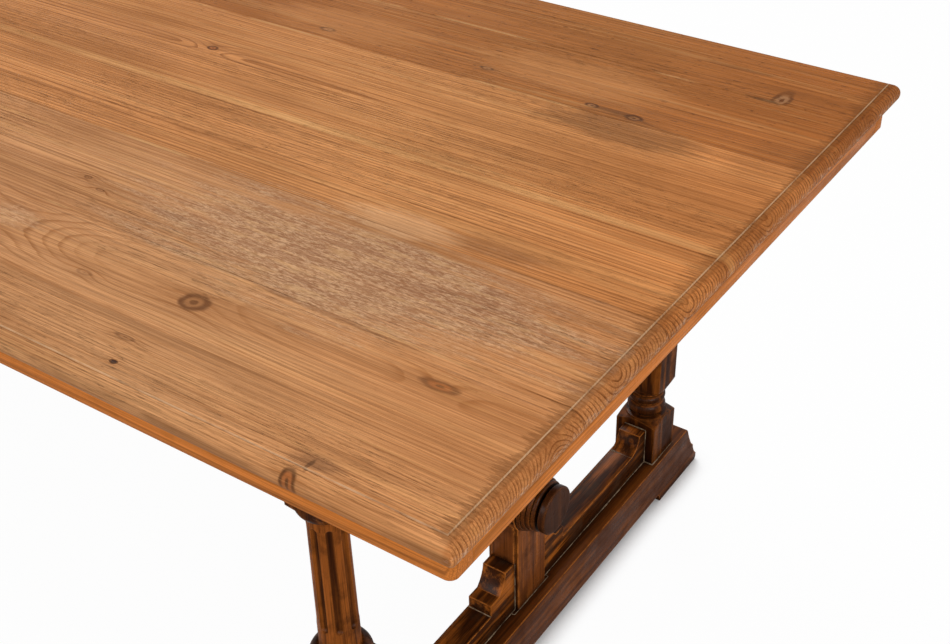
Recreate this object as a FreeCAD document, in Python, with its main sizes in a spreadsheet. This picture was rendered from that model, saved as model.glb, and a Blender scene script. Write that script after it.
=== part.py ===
"""Refectory table: a plank top with a moulded edge on two trestles tied by one stretcher.

The frame has +X along the table, +Y to its back, +Z up, with the origin on the floor under the middle of the
top. All sizes are in millimetres and live in the sheet named Size.
"""
import FreeCAD
import Part
import Sketcher
import math
import os
import re

# Driving sizes: word, number, what it measures
SIZES = [
    ("top_length", 2438.4, "length of the top over its moulded edge"),
    ("top_thick", 29.0, "thickness of the planks"),
    ("quirk_step", 2.5, "drop of the quirk below the field"),
    ("quirk_flat", 1.0, "flat between the quirk and the moulded nose"),
    ("nose_radius", 14.0, "upper round of the moulded edge"),
    ("nose_flat", 1.5, "upright flat between the upper and the lower round"),
    ("corner_round", 5.0, "plan radius of the worn corners of the top"),
    ("plank_1_width", 220.2, "front plank"),
    ("plank_2_width", 170.0, "second plank"),
    ("plank_3_width", 141.0, "third plank"),
    ("plank_4_width", 233.0, "fourth plank"),
    ("plank_5_width", 154.0, "fifth plank"),
    ("plank_6_width", 148.2, "back plank"),
    ("tongue_thick", 6.0, "loose tongue, thickness"),
    ("tongue_reach", 9.0, "loose tongue, reach into each plank"),
    ("tongue_stop", 60.0, "end of a tongue to the end of the top"),
    ("tongue_play", 0.1, "play round a tongue"),
    ("apron_height", 32.4, "height of the apron rails"),
    ("apron_thick", 32.0, "thickness of the apron rails"),
    ("apron_end_setback", 13.0, "moulded nose to the end apron"),
    ("apron_side_setback", 17.0, "moulded nose to the side apron"),
    ("apron_round", 10.0, "plan radius of the worn corners of the apron"),
    ("block_leg", 55.0, "leg of the triangular corner blocks"),
    ("batten_width", 60.0, "width of the centre batten"),
    ("bearer_height", 70.0, "height of the trestle bearers"),
    ("bearer_width", 76.0, "width of the trestle bearers"),
    ("bearer_end_gap", 14.0, "bearer end to the side apron"),
    ("bearer_bevel", 28.0, "bevel on the lower ends of a bearer"),
    ("trestle_inset", 280.8, "end of the top to the middle of a trestle"),
    ("foot_reach", 118.5, "middle of a column to the end of the foot"),
    ("foot_width", 84.0, "width of a foot"),
    ("foot_height", 92.6, "height of a foot"),
    ("foot_pad", 130.0, "length of the pad at each end of a foot"),
    ("foot_relief", 17.5, "clearance under the middle of a foot"),
    ("relief_run", 8.0, "run of the curve where the relief meets a pad"),
    ("relief_curve", 21.0, "radius of that curve"),
    ("toe_round", 6.0, "round of the toe at the floor"),
    ("toe_height", 13.0, "height of the toe"),
    ("toe_ledge", 14.0, "depth of the ledge on the toe"),
    ("toe_cove", 24.0, "height of the lower cove of the foot end"),
    ("toe_cove_curve", 48.0, "radius of that cove"),
    ("toe_bead", 6.0, "depth of the bead above that cove"),
    ("toe_bead_height", 9.0, "height of that bead"),
    ("toe_bead_curve", 9.0, "radius of that bead"),
    ("toe_sweep", 18.0, "run of the upper sweep of the foot end"),
    ("toe_sweep_curve", 185.0, "radius of that sweep"),
    ("toe_crown", 9.0, "height of the worn crown above the sweep"),
    ("toe_crown_run", 5.0, "run of the worn crown"),
    ("toe_crown_curve", 27.0, "radius of the worn crown"),
    ("column_offset", 385.0, "middle of a trestle to a column"),
    ("column_square", 69.0, "square stock of a column"),
    ("column_chamfer", 7.3, "chamfer on the corners of the column blocks"),
    ("plinth_height", 69.4, "square plinth of a column"),
    ("block_height", 81.0, "lower square block of a column"),
    ("upper_block_height", 93.0, "upper square block of a column"),
    ("shoulder_height", 10.0, "turned shoulder over the plinth"),
    ("collar_radius", 33.0, "collar over the plinth"),
    ("collar_height", 3.0, "height of that collar"),
    ("ring_root", 24.0, "radius between the rings"),
    ("lower_ring", 20.0, "height of the lower ring"),
    ("lower_ring_bulge", 6.5, "bulge of the lower ring"),
    ("upper_ring", 14.0, "height of the upper ring"),
    ("upper_ring_bulge", 5.5, "bulge of the upper ring"),
    ("ring_gap", 2.5, "fillet beside each ring"),
    ("neck_height", 4.0, "plain neck over the rings"),
    ("neck_flare", 12.0, "height and radius of the flare under the block"),
    ("block_seat", 4.0, "turned slope at the ends of a block"),
    ("ovolo_radius", 39.0, "widest radius of the ovolo over the block"),
    ("ovolo_height", 22.0, "height of that ovolo"),
    ("ovolo_curve", 20.0, "radius of its section"),
    ("shaft_height", 211.0, "height of the shaft"),
    ("shaft_foot_radius", 25.6, "shaft radius at its foot"),
    ("shaft_head_radius", 23.6, "shaft radius at its head"),
    ("capital_height", 18.0, "flare at the head of the shaft"),
    ("capital_radius", 36.0, "widest radius of that flare"),
    ("capital_curve", 21.6, "radius of its section"),
    ("flute_radius", 5.5, "radius of a flute"),
    ("flute_out", 1.4, "mean shaft surface to the axis of a flute"),
    ("flute_foot_stop", 36.0, "plain shaft below the flutes"),
    ("flute_head_stop", 11.0, "plain shaft above the flutes"),
    ("tenon_square", 40.0, "square tenons of the columns"),
    ("foot_tenon", 45.0, "length of the tenons in the feet"),
    ("bearer_tenon", 40.0, "length of the tenons in the bearers"),
    ("joint_play", 0.1, "play on each side of a tenon"),
    ("mortise_spare", 1.0, "spare depth of a mortise"),
    ("rail_width", 38.0, "width of a scroll rail"),
    ("rail_height", 38.4, "height of the low part of a scroll rail"),
    ("post_step", 20.5, "first riser of the rail beside the post"),
    ("post_step_offset", 61.0, "post face to that riser"),
    ("post_tread", 21.0, "tread on that riser"),
    ("post_cove", 34.0, "height of the cove above the tread"),
    ("post_cove_run", 16.0, "run of that cove"),
    ("post_cove_curve", 51.0, "radius of that cove"),
    ("plinth_rise_offset", 43.5, "plinth face to the rise of the rail"),
    ("plinth_cove", 27.0, "height of the cove beside the plinth"),
    ("plinth_cove_run", 24.5, "run of that cove"),
    ("plinth_cove_curve", 32.4, "radius of that cove"),
    ("post_width", 72.0, "width of the face of a centre post"),
    ("post_thick", 49.0, "thickness of a centre post at its face strip"),
    ("post_board", 38.0, "thickness of the board of a centre post"),
    ("post_tenon_width", 50.0, "tenon of a centre post"),
    ("ear_reach", 3.0, "reach of the post board beyond its face strip"),
    ("head_rise", 95.5, "top of the rails to the stretcher axis"),
    ("head_reach", 7.0, "round head of a centre post beyond the sides of its board"),
    ("stretcher_height", 78.0, "height of the stretcher"),
    ("stretcher_width", 58.0, "width of the stretcher"),
    ("stretcher_tenon", 20.0, "radius of the round tenon of the stretcher"),
    ("boss_radius", 44.5, "turned boss at the post face"),
    ("boss_end_radius", 35.5, "turned boss at its outer end"),
    ("boss_length", 26.0, "length of the beaded part of the boss"),
    ("boss_bead", 2.2, "bulge of a bead on the boss"),
    ("boss_neck_radius", 27.0, "groove between boss and cap"),
    ("boss_neck", 4.0, "width of that groove"),
    ("cap_radius", 36.0, "round end cap"),
    ("cap_thick", 11.0, "thickness of the cap"),
    ("cap_round", 2.5, "rounded rim of the cap"),
    ("spigot_radius", 8.0, "spigot of the cap"),
    ("spigot_length", 22.0, "length of that spigot"),
    ("screw_shank", 2.5, "radius of a screw shank"),
    ("screw_head", 5.0, "radius of a screw head"),
    ("screw_head_height", 3.5, "height of a screw head"),
    ("screw_bite", 17.0, "reach of a screw into the piece that it holds"),
    ("screw_play", 0.1, "play round a screw"),
    ("bearer_sink", 38.0, "counterbore for a screw in a bearer"),
    ("apron_sink", 10.0, "counterbore for a screw in an apron rail or batten"),
    ("rail_screw_sink", 50.0, "counterbore for a rail screw in a foot"),
    ("side_screw_pitch", 420.0, "spacing of the screws along a side apron"),
    ("rail_screw_inset", 60.0, "rail end to its screw"),
]
FLUTES = 8
BOSS_BEADS = 4
SIDE_SCREWS = 5
PLANKS = 6
# Turning cuts start this far from the axis, in square stocks, which is past the corners of the stock
PAST_CORNERS = 0.8
NAMES = {word for word, number, note in SIZES}

doc = FreeCAD.newDocument("RefectoryTable")
sheet = doc.addObject("Spreadsheet::Sheet", "Size")
for row, (word, number, note) in enumerate(SIZES, start=1):
    sheet.set(f"A{row}", note)
    sheet.set(f"B{row}", str(number))
    sheet.setAlias(f"B{row}", word)
doc.recompute()

# Derived places, written as expressions on the sheet: first the column from the floor up to the top
PLINTH_TOP = "(foot_height + plinth_height)"
RING_FOOT = f"({PLINTH_TOP} + shoulder_height + collar_height + ring_gap)"
RING_MIDDLE = f"({RING_FOOT} + lower_ring)"
RING_HEAD = f"({RING_MIDDLE} + ring_gap + upper_ring)"
BLOCK_UNDER = f"({RING_HEAD} + neck_height + neck_flare + block_seat)"
BLOCK_TOP = f"({BLOCK_UNDER} + block_height)"
SHAFT_FOOT = f"({BLOCK_TOP} + block_seat + ovolo_height)"
SHAFT_HEAD = f"({SHAFT_FOOT} + shaft_height)"
CAPITAL_TOP = f"({SHAFT_HEAD} + capital_height)"
BEARER_UNDER = f"({CAPITAL_TOP} + upper_block_height)"
TOP_UNDER = f"({BEARER_UNDER} + bearer_height)"
TOP_FACE = f"({TOP_UNDER} + top_thick)"
APRON_UNDER = f"({TOP_UNDER} - apron_height)"

# Then the places along and across the table
TOP_WIDTH = "(" + " + ".join(f"plank_{number}_width" for number in range(1, PLANKS + 1)) + ")"
TRESTLE = "(top_length / 2 - trestle_inset)"
APRON_INNER_X = "(top_length / 2 - apron_end_setback - apron_thick)"
APRON_INNER_Y = f"({TOP_WIDTH} / 2 - apron_side_setback - apron_thick)"
RAIL_LOW = "(foot_height + rail_height)"
RAIL_TOP = f"({RAIL_LOW} + post_step + post_cove)"
STRETCHER_AXIS = f"({RAIL_TOP} + head_rise)"
BOSS_FACE = f"({TRESTLE} + post_thick / 2)"
STRETCHER_END = f"({BOSS_FACE} + boss_length + boss_neck)"

# Room that cutting forms reach past what they cut
SPARE = "(top_thick)"

pieces = []


def full(text):
    """Put the sheet's name before each of its words."""
    return re.sub(r"[A-Za-z_]\w*", lambda m: f"Size.{m[0]}" if m[0] in NAMES else m[0], text)


def value(text):
    """Work out an expression now."""
    return float(sheet.evalExpression(full(text)))


def bind(item, prop, text):
    """Tie a property to an expression on the sheet."""
    item.setExpression(prop, full(text))


def place(item, x="0", y="0", z="0", turn=0.0):
    """Place an object by expressions, turned about +Z by an angle in degrees."""
    item.Placement = FreeCAD.Placement(
        FreeCAD.Vector(value(x), value(y), value(z)), FreeCAD.Rotation(FreeCAD.Vector(0, 0, 1), turn))
    for axis, text in zip("xyz", (x, y, z)):
        bind(item, f"Placement.Base.{axis}", text)


def keep(item, label):
    """Name a finished piece."""
    item.Label = label
    pieces.append(item)
    return item


# Primitive and boolean helpers
def make_box(name, size, at):
    box = doc.addObject("Part::Box", name)
    for prop, text in zip(("Length", "Width", "Height"), size):
        bind(box, prop, text)
    place(box, *at)
    return box


def make_cylinder(name, radius, height, at):
    rod = doc.addObject("Part::Cylinder", name)
    bind(rod, "Radius", radius)
    bind(rod, "Height", height)
    place(rod, *at)
    return rod


def join(name, kind, items):
    """A compound or fusion of several objects."""
    group = doc.addObject(kind, name)
    if kind == "Part::Compound":
        group.Links = items
    else:
        group.Shapes = items
    return group


def cut(name, base, tools):
    """Take tools away from a base."""
    if not tools:
        return base
    result = doc.addObject("Part::Cut", name)
    result.Base = base
    result.Tool = tools[0] if len(tools) == 1 else join(name + "_tools", "Part::Compound", tools)
    return result


# Sketch and feature helpers
def new_sketch(body, role, name, lift=None):
    plane = next(item for item in body.Origin.OriginFeatures if item.Role == role)
    sketch = body.newObject("Sketcher::SketchObject", f"{body.Name}_{name}")
    sketch.AttachmentSupport = [(plane, "")]
    sketch.MapMode = "FlatFace"
    if lift:
        bind(sketch, "AttachmentOffset.Base.z", lift)
    return sketch


def arc_between(start, end, radius, turn):
    """The shorter arc from start to end; turn +1 goes counterclockwise, -1 clockwise."""
    run = end - start
    middle = (start + end) * 0.5
    rise = math.sqrt(max(radius ** 2 - (run.Length / 2) ** 2, 0.0))
    side = FreeCAD.Vector(-run.y, run.x, 0).normalize() * (turn * rise)
    centre = middle + side
    first, last = (start, end) if turn > 0 else (end, start)
    angles = [math.atan2(p.y - centre.y, p.x - centre.x) for p in (first, last)]
    return Part.ArcOfCircle(Part.Circle(centre, FreeCAD.Vector(0, 0, 1), radius), *angles)


def hold_point(sketch, geometry, point, x, y):
    """Fix a sketch point by two expressions measured from the sketch's origin."""
    for kind, axis_line, text in (("DistanceX", -2, x), ("DistanceY", -1, y)):
        if text == "0":
            sketch.addConstraint(Sketcher.Constraint("PointOnObject", geometry, point, axis_line))
            continue
        number = sketch.addConstraint(Sketcher.Constraint(kind, -1, 1, geometry, point, value(text)))
        bind(sketch, f"Constraints[{number}]", text)


def outline(sketch, corners):
    """Draw a closed outline. A corner is (x, y), or (x, y, radius, turn) where an arc starts."""
    spots = [FreeCAD.Vector(value(corner[0]), value(corner[1]), 0) for corner in corners]
    ends = []
    for index, corner in enumerate(corners):
        start = spots[index]
        end = spots[(index + 1) % len(spots)]
        if len(corner) == 2:
            edge = sketch.addGeometry(Part.LineSegment(start, end), False)
            ends.append((edge, 1, 2))
            continue
        radius, turn = corner[2:]
        edge = sketch.addGeometry(arc_between(start, end, value(radius), turn), False)
        ends.append((edge, 1, 2) if turn > 0 else (edge, 2, 1))
    for index, (edge, first, last) in enumerate(ends):
        after, after_first, _ = ends[(index + 1) % len(ends)]
        sketch.addConstraint(Sketcher.Constraint("Coincident", edge, last, after, after_first))
    for (edge, first, last), corner in zip(ends, corners):
        hold_point(sketch, edge, first, corner[0], corner[1])
        if len(corner) > 2:
            number = sketch.addConstraint(Sketcher.Constraint("Radius", edge, value(corner[2])))
            bind(sketch, f"Constraints[{number}]", corner[2])
    return sketch


def circle(sketch, x, y, radius):
    centre = FreeCAD.Vector(value(x), value(y), 0)
    edge = sketch.addGeometry(Part.Circle(centre, FreeCAD.Vector(0, 0, 1), value(radius)), False)
    hold_point(sketch, edge, 3, x, y)
    number = sketch.addConstraint(Sketcher.Constraint("Radius", edge, value(radius)))
    bind(sketch, f"Constraints[{number}]", radius)


def rectangle(sketch, x0, y0, x1, y1):
    outline(sketch, [(x0, y0), (x1, y0), (x1, y1), (x0, y1)])


def new_body(name):
    return doc.addObject("PartDesign::Body", name)


def raise_pad(body, sketch, length, both=False):
    pad = body.newObject("PartDesign::Pad", sketch.Name + "_pad")
    pad.Profile = sketch
    pad.SideType = "Symmetric" if both else "One side"
    bind(pad, "Length", length)
    return pad


def sink_pocket(body, sketch, depth, upward=False):
    """Cut a sketch away, into -Z of the sketch unless upward, and make sure that it cut something."""
    doc.recompute()
    before = body.Shape.Volume
    pocket = body.newObject("PartDesign::Pocket", sketch.Name + "_pocket")
    pocket.Profile = sketch
    pocket.Reversed = upward
    bind(pocket, "Length", depth)
    doc.recompute()
    if not body.Shape.Volume < before:
        raise RuntimeError(f"{pocket.Name} cuts nothing")
    return pocket


def turn_groove(body, sketch, axis):
    """Turn a sketch away round one of its own axes, and make sure that it cut something."""
    doc.recompute()
    before = body.Shape.Volume
    groove = body.newObject("PartDesign::Groove", sketch.Name + "_groove")
    groove.Profile = sketch
    groove.ReferenceAxis = (sketch, [axis])
    groove.Angle = 360.0
    doc.recompute()
    if not body.Shape.Volume < before:
        raise RuntimeError(f"{groove.Name} cuts nothing")
    return groove


def bulge_radius(height, bulge):
    """Radius of an arc from its chord and its bulge."""
    return f"((({height}) / 2) ^ 2 + ({bulge}) ^ 2) / (2 * ({bulge}))"


def mirrored(half):
    """Close a half outline at +Y with its mirror image at -Y, going round counterclockwise.

    The half starts on the lower side and ends on the upper side.
    """
    other = []
    for index in range(len(half) - 1, -1, -1):
        x, y = half[index][:2]
        bend = half[index - 1][2:] if index and len(half[index - 1]) > 2 else ()
        other.append((f"-({x})", y, *bend))
    return half + other


# Screws: each screw stands upright and is driven up from below
def screw(name, x, y, head, length):
    """Screw with its head's underside at the height head, and the two tools that make room for it."""
    at = (x, y, head)
    shank = make_cylinder(name + "_shank", "screw_shank", length, at)
    below = (x, y, f"{head} - screw_head_height")
    top = make_cylinder(name + "_head", "screw_head", "screw_head_height", below)
    solid = join(name, "Part::MultiFuse", [top, shank])
    hole = make_cylinder(name + "_hole", "screw_shank + screw_play", f"{length} + screw_play", at)
    return solid, hole


def counterbore(name, x, y, under, depth):
    return make_cylinder(name, "screw_head + screw_play", depth, (x, y, under))


# Top: one moulded form, from which the planks are parted
def edge_profile(name, role, width, length):
    """Slab along one axis with the moulded section on both of its long edges."""
    body = new_body(name)
    half = f"{width} / 2"
    quirk = f"{half} - nose_radius - quirk_flat"
    quirk_floor = f"({TOP_FACE} - quirk_step)"
    under_radius = "(top_thick - quirk_step - nose_radius - nose_flat)"
    section = [
        (f"{half} - {under_radius}", TOP_UNDER, under_radius, 1),
        (half, f"{TOP_UNDER} + {under_radius}"),
        (half, f"{quirk_floor} - nose_radius", "nose_radius", 1),
        (f"{half} - nose_radius", quirk_floor),
        (quirk, quirk_floor),
        (quirk, TOP_FACE),
    ]
    raise_pad(body, outline(new_sketch(body, role, "section"), mirrored(section)), length, both=True)
    return body


def rounded_plan(name, x, y, radius):
    """Upright prism with rounded corners that reaches past the top surface; x and y are its half sizes."""
    body = new_body(name)
    corners = []
    for side_x, side_y in ((1, 1), (-1, 1), (-1, -1), (1, -1)):
        near_x = (f"{side_x} * ({x} - {radius})", f"{side_y} * ({y})")
        near_y = (f"{side_x} * ({x})", f"{side_y} * ({y} - {radius})")
        first, last = (near_y, near_x) if side_x * side_y > 0 else (near_x, near_y)
        corners.append((*first, radius, 1))
        corners.append(last)
    raise_pad(body, outline(new_sketch(body, "XY_Plane", "plan"), corners), f"{TOP_FACE} + {SPARE}")
    return body


def common(name, items):
    """What several objects have in common."""
    result = doc.addObject("Part::MultiCommon", name)
    result.Shapes = items
    return result


def top_form():
    """Moulded top in one: both edge profiles and the worn corners in common."""
    along = edge_profile("moulding_along", "YZ_Plane", TOP_WIDTH, "top_length")
    across = edge_profile("moulding_across", "XZ_Plane", "top_length", TOP_WIDTH)
    plan = rounded_plan("worn_top", "top_length / 2", f"{TOP_WIDTH} / 2", "corner_round")
    return common("moulded_form", [along, across, plan])


def plank_edges():
    """Expressions of the plank joints from front to back, with spare at the outer edges."""
    edges = [f"(-{TOP_WIDTH} / 2 - {SPARE})"]
    reached = f"-{TOP_WIDTH} / 2"
    for number in range(1, PLANKS):
        reached += f" + plank_{number}_width"
        edges.append(f"({reached})")
    edges.append(f"({TOP_WIDTH} / 2 + {SPARE})")
    return edges


def plank_middles():
    """Expressions of the middle of each plank."""
    edges = [f"(-{TOP_WIDTH} / 2)"] + plank_edges()[1:-1] + [f"({TOP_WIDTH} / 2)"]
    return [f"(({low} + {high}) / 2)" for low, high in zip(edges, edges[1:])]


def tongue_box(name, y, play):
    """Loose tongue at a joint, or with play the groove for it."""
    reach = f"(tongue_reach + {play})"
    thick = f"(tongue_thick + 2 * {play})"
    half = f"(top_length / 2 - tongue_stop + {play})"
    middle = f"({TOP_UNDER} + top_thick / 2)"
    return make_box(name, (f"2 * {half}", f"2 * {reach}", thick),
                    (f"-{half}", f"{y} - {reach}", f"{middle} - {thick} / 2"))


def planks(holes):
    """Part the moulded form into planks, groove their joints and drill them for the screws."""
    form = top_form()
    edges = plank_edges()
    for number in range(1, PLANKS + 1):
        low, high = edges[number - 1], edges[number]
        size = (f"top_length + 2 * {SPARE}", f"{high} - {low}", f"top_thick + 2 * {SPARE}")
        corner = (f"-top_length / 2 - {SPARE}", low, f"{TOP_UNDER} - {SPARE}")
        blank = make_box(f"plank_blank_{number}", size, corner)
        plank = common(f"plank_form_{number}", [form, blank])
        tools = []
        for side, joint in (("low", number - 1), ("high", number)):
            if 0 < joint < PLANKS:
                tools.append(tongue_box(f"groove_{number}_{side}", edges[joint], "tongue_play"))
        tools += holes.get(number, [])
        keep(cut(f"plank_{number}", plank, tools), f"top_plank_{number}")
    for number in range(1, PLANKS):
        keep(tongue_box(f"tongue_{number}", edges[number], "0"), f"plank_tongue_{number}")


# Apron, batten and bearers, with the screws that hold the planks down
def apron_and_screws():
    """Rails under the top. Returns the holes that their screws need in each plank."""
    holes = {number: [] for number in range(1, PLANKS + 1)}
    middles = plank_middles()
    side_y = f"({APRON_INNER_Y} + apron_thick / 2)"
    end_x = f"({APRON_INNER_X} + apron_thick / 2)"
    apron_head = f"({APRON_UNDER} + apron_sink)"
    apron_reach = "(apron_height - apron_sink + screw_bite)"
    apron_screws = []
    batten_screws = []
    outer_x = "(top_length / 2 - apron_end_setback)"
    outer_y = f"({TOP_WIDTH} / 2 - apron_side_setback)"
    plan = rounded_plan("worn_apron", outer_x, outer_y, "apron_round")

    def fix(name, x, y, plank, group, tools):
        solid, hole = screw(name, x, y, apron_head, apron_reach)
        group.append(solid)
        holes[plank].append(hole)
        tools += [hole, counterbore(name + "_bore", x, y, APRON_UNDER, "apron_sink")]

    for label, sign, plank in (("front", -1, 1), ("back", 1, PLANKS)):
        size = (f"2 * {outer_x}", "apron_thick", "apron_height")
        corner = (f"-{outer_x}", f"{sign} * {side_y} - apron_thick / 2", APRON_UNDER)
        rail = common(f"rail_form_{label}", [make_box(f"rail_{label}", size, corner), plan])
        tools = []
        for step in range(SIDE_SCREWS):
            x = f"({step} - ({SIDE_SCREWS} - 1) / 2) * side_screw_pitch"
            fix(f"{label}_screw_{step}", x, f"{sign} * {side_y}", plank, apron_screws, tools)
        keep(cut(f"apron_{label}_cut", rail, tools), f"apron_{label}")
    crossings = [
        ("left", f"-{end_x}", "apron_thick"),
        ("right", end_x, "apron_thick"),
        ("centre", "0", "batten_width"),
    ]
    for label, x, thick in crossings:
        rail = make_box(f"rail_{label}", (thick, f"2 * {APRON_INNER_Y}", "apron_height"),
                        (f"{x} - {thick} / 2", f"-{APRON_INNER_Y}", APRON_UNDER))
        tools = []
        group = batten_screws if label == "centre" else apron_screws
        for plank, y in enumerate(middles, start=1):
            fix(f"{label}_screw_{plank}", x, y, plank, group, tools)
        node = "centre_batten" if label == "centre" else f"apron_{label}"
        keep(cut(f"{node}_cut", rail, tools), node)
    keep(join("apron_screw_set", "Part::Compound", apron_screws), "apron_screws")
    keep(join("batten_screw_set", "Part::Compound", batten_screws), "batten_screws")

    bearer_screws = []
    beside_tenon = "(tenon_square / 2 + bearer_width / 2) / 2"
    reach = "(bearer_height - bearer_sink + screw_bite)"
    for label, sign in (("left", -1), ("right", 1)):
        tools = []
        for plank, y in enumerate(middles, start=1):
            name = f"bearer_{label}_screw_{plank}"
            stagger = "+" if plank % 2 else "-"
            x = f"{sign} * ({TRESTLE} {stagger} {beside_tenon})"
            solid, hole = screw(name, x, y, f"({BEARER_UNDER} + bearer_sink)", reach)
            bearer_screws.append(solid)
            holes[plank].append(hole)
            tools += [hole, counterbore(name + "_bore", x, y, BEARER_UNDER, "bearer_sink")]
        keep(cut(f"bearer_{label}_cut", bearer(label, sign), tools), f"bearer_{label}")
    keep(join("bearer_screw_set", "Part::Compound", bearer_screws), "bearer_screws")
    return holes


def bearer(label, sign):
    """Beam over a pair of columns, bevelled at its lower ends and mortised from below."""
    body = new_body(f"bearer_{label}_body")
    half = f"({APRON_INNER_Y} - bearer_end_gap)"
    side = [
        (f"{half} - bearer_bevel", BEARER_UNDER),
        (half, f"{BEARER_UNDER} + bearer_bevel"),
        (half, TOP_UNDER),
    ]
    raise_pad(body, outline(new_sketch(body, "YZ_Plane", "side"), mirrored(side)), "bearer_width", both=True)
    mortise = new_sketch(body, "XY_Plane", "mortise", lift=BEARER_UNDER)
    reach = "(tenon_square / 2 + joint_play)"
    for y in ("-column_offset", "column_offset"):
        rectangle(mortise, f"-{reach}", f"{y} - {reach}", reach, f"{y} + {reach}")
    sink_pocket(body, mortise, "bearer_tenon + mortise_spare", upward=True)
    place(body, f"{sign} * {TRESTLE}")
    return body


def corner_blocks():
    """Triangular glue blocks in the inner corners of the apron."""
    for label_x, sign_x in (("left", -1), ("right", 1)):
        for label_y, sign_y in (("front", -1), ("back", 1)):
            node = f"corner_block_{label_x}_{label_y}"
            body = new_body(node)
            x = f"{sign_x} * {APRON_INNER_X}"
            y = f"{sign_y} * {APRON_INNER_Y}"
            plan = [(x, y), (f"{x} - {sign_x} * block_leg", y), (x, f"{y} - {sign_y} * block_leg")]
            sketch = outline(new_sketch(body, "XY_Plane", "plan", lift=APRON_UNDER), plan)
            raise_pad(body, sketch, "apron_height")
            keep(body, node)


# Trestle pieces, each modelled on its own trestle's axis
def foot(label, sign):
    """Long foot with stepped ends, a relieved underside and three mortises."""
    body = new_body(f"foot_{label}_body")
    end = "(column_offset + foot_reach)"
    pad_start = f"({end} - foot_pad)"
    bead_y = f"({end} - toe_ledge)"
    bead_z = "(toe_height + toe_cove)"
    sweep_y = f"({bead_y} - toe_bead)"
    sweep_z = f"({bead_z} + toe_bead_height)"
    crown_y = f"({sweep_y} - toe_sweep)"
    crown_z = "(foot_height - toe_crown)"
    side = [
        (f"{pad_start} - relief_run", "foot_relief", "relief_curve", -1),
        (pad_start, "0"),
        (f"{end} - toe_round", "0", "toe_round", 1),
        (end, "toe_round"),
        (end, "toe_height", "toe_cove_curve", -1),
        (bead_y, bead_z, "toe_bead_curve", 1),
        (sweep_y, sweep_z, "toe_sweep_curve", -1),
        (crown_y, crown_z, "toe_crown_curve", 1),
        (f"{crown_y} - toe_crown_run", "foot_height"),
    ]
    raise_pad(body, outline(new_sketch(body, "YZ_Plane", "side"), mirrored(side)), "foot_width", both=True)
    mortise = new_sketch(body, "XY_Plane", "mortise", lift="foot_height")
    reach = "(tenon_square / 2 + joint_play)"
    for y in ("-column_offset", "column_offset"):
        rectangle(mortise, f"-{reach}", f"{y} - {reach}", reach, f"{y} + {reach}")
    post_x = "(post_board / 2 + joint_play)"
    post_y = "(post_tenon_width / 2 + joint_play)"
    rectangle(mortise, f"-{post_x}", f"-{post_y}", post_x, post_y)
    sink_pocket(body, mortise, "foot_tenon + mortise_spare")
    place(body, f"{sign} * {TRESTLE}")
    return body


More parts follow.
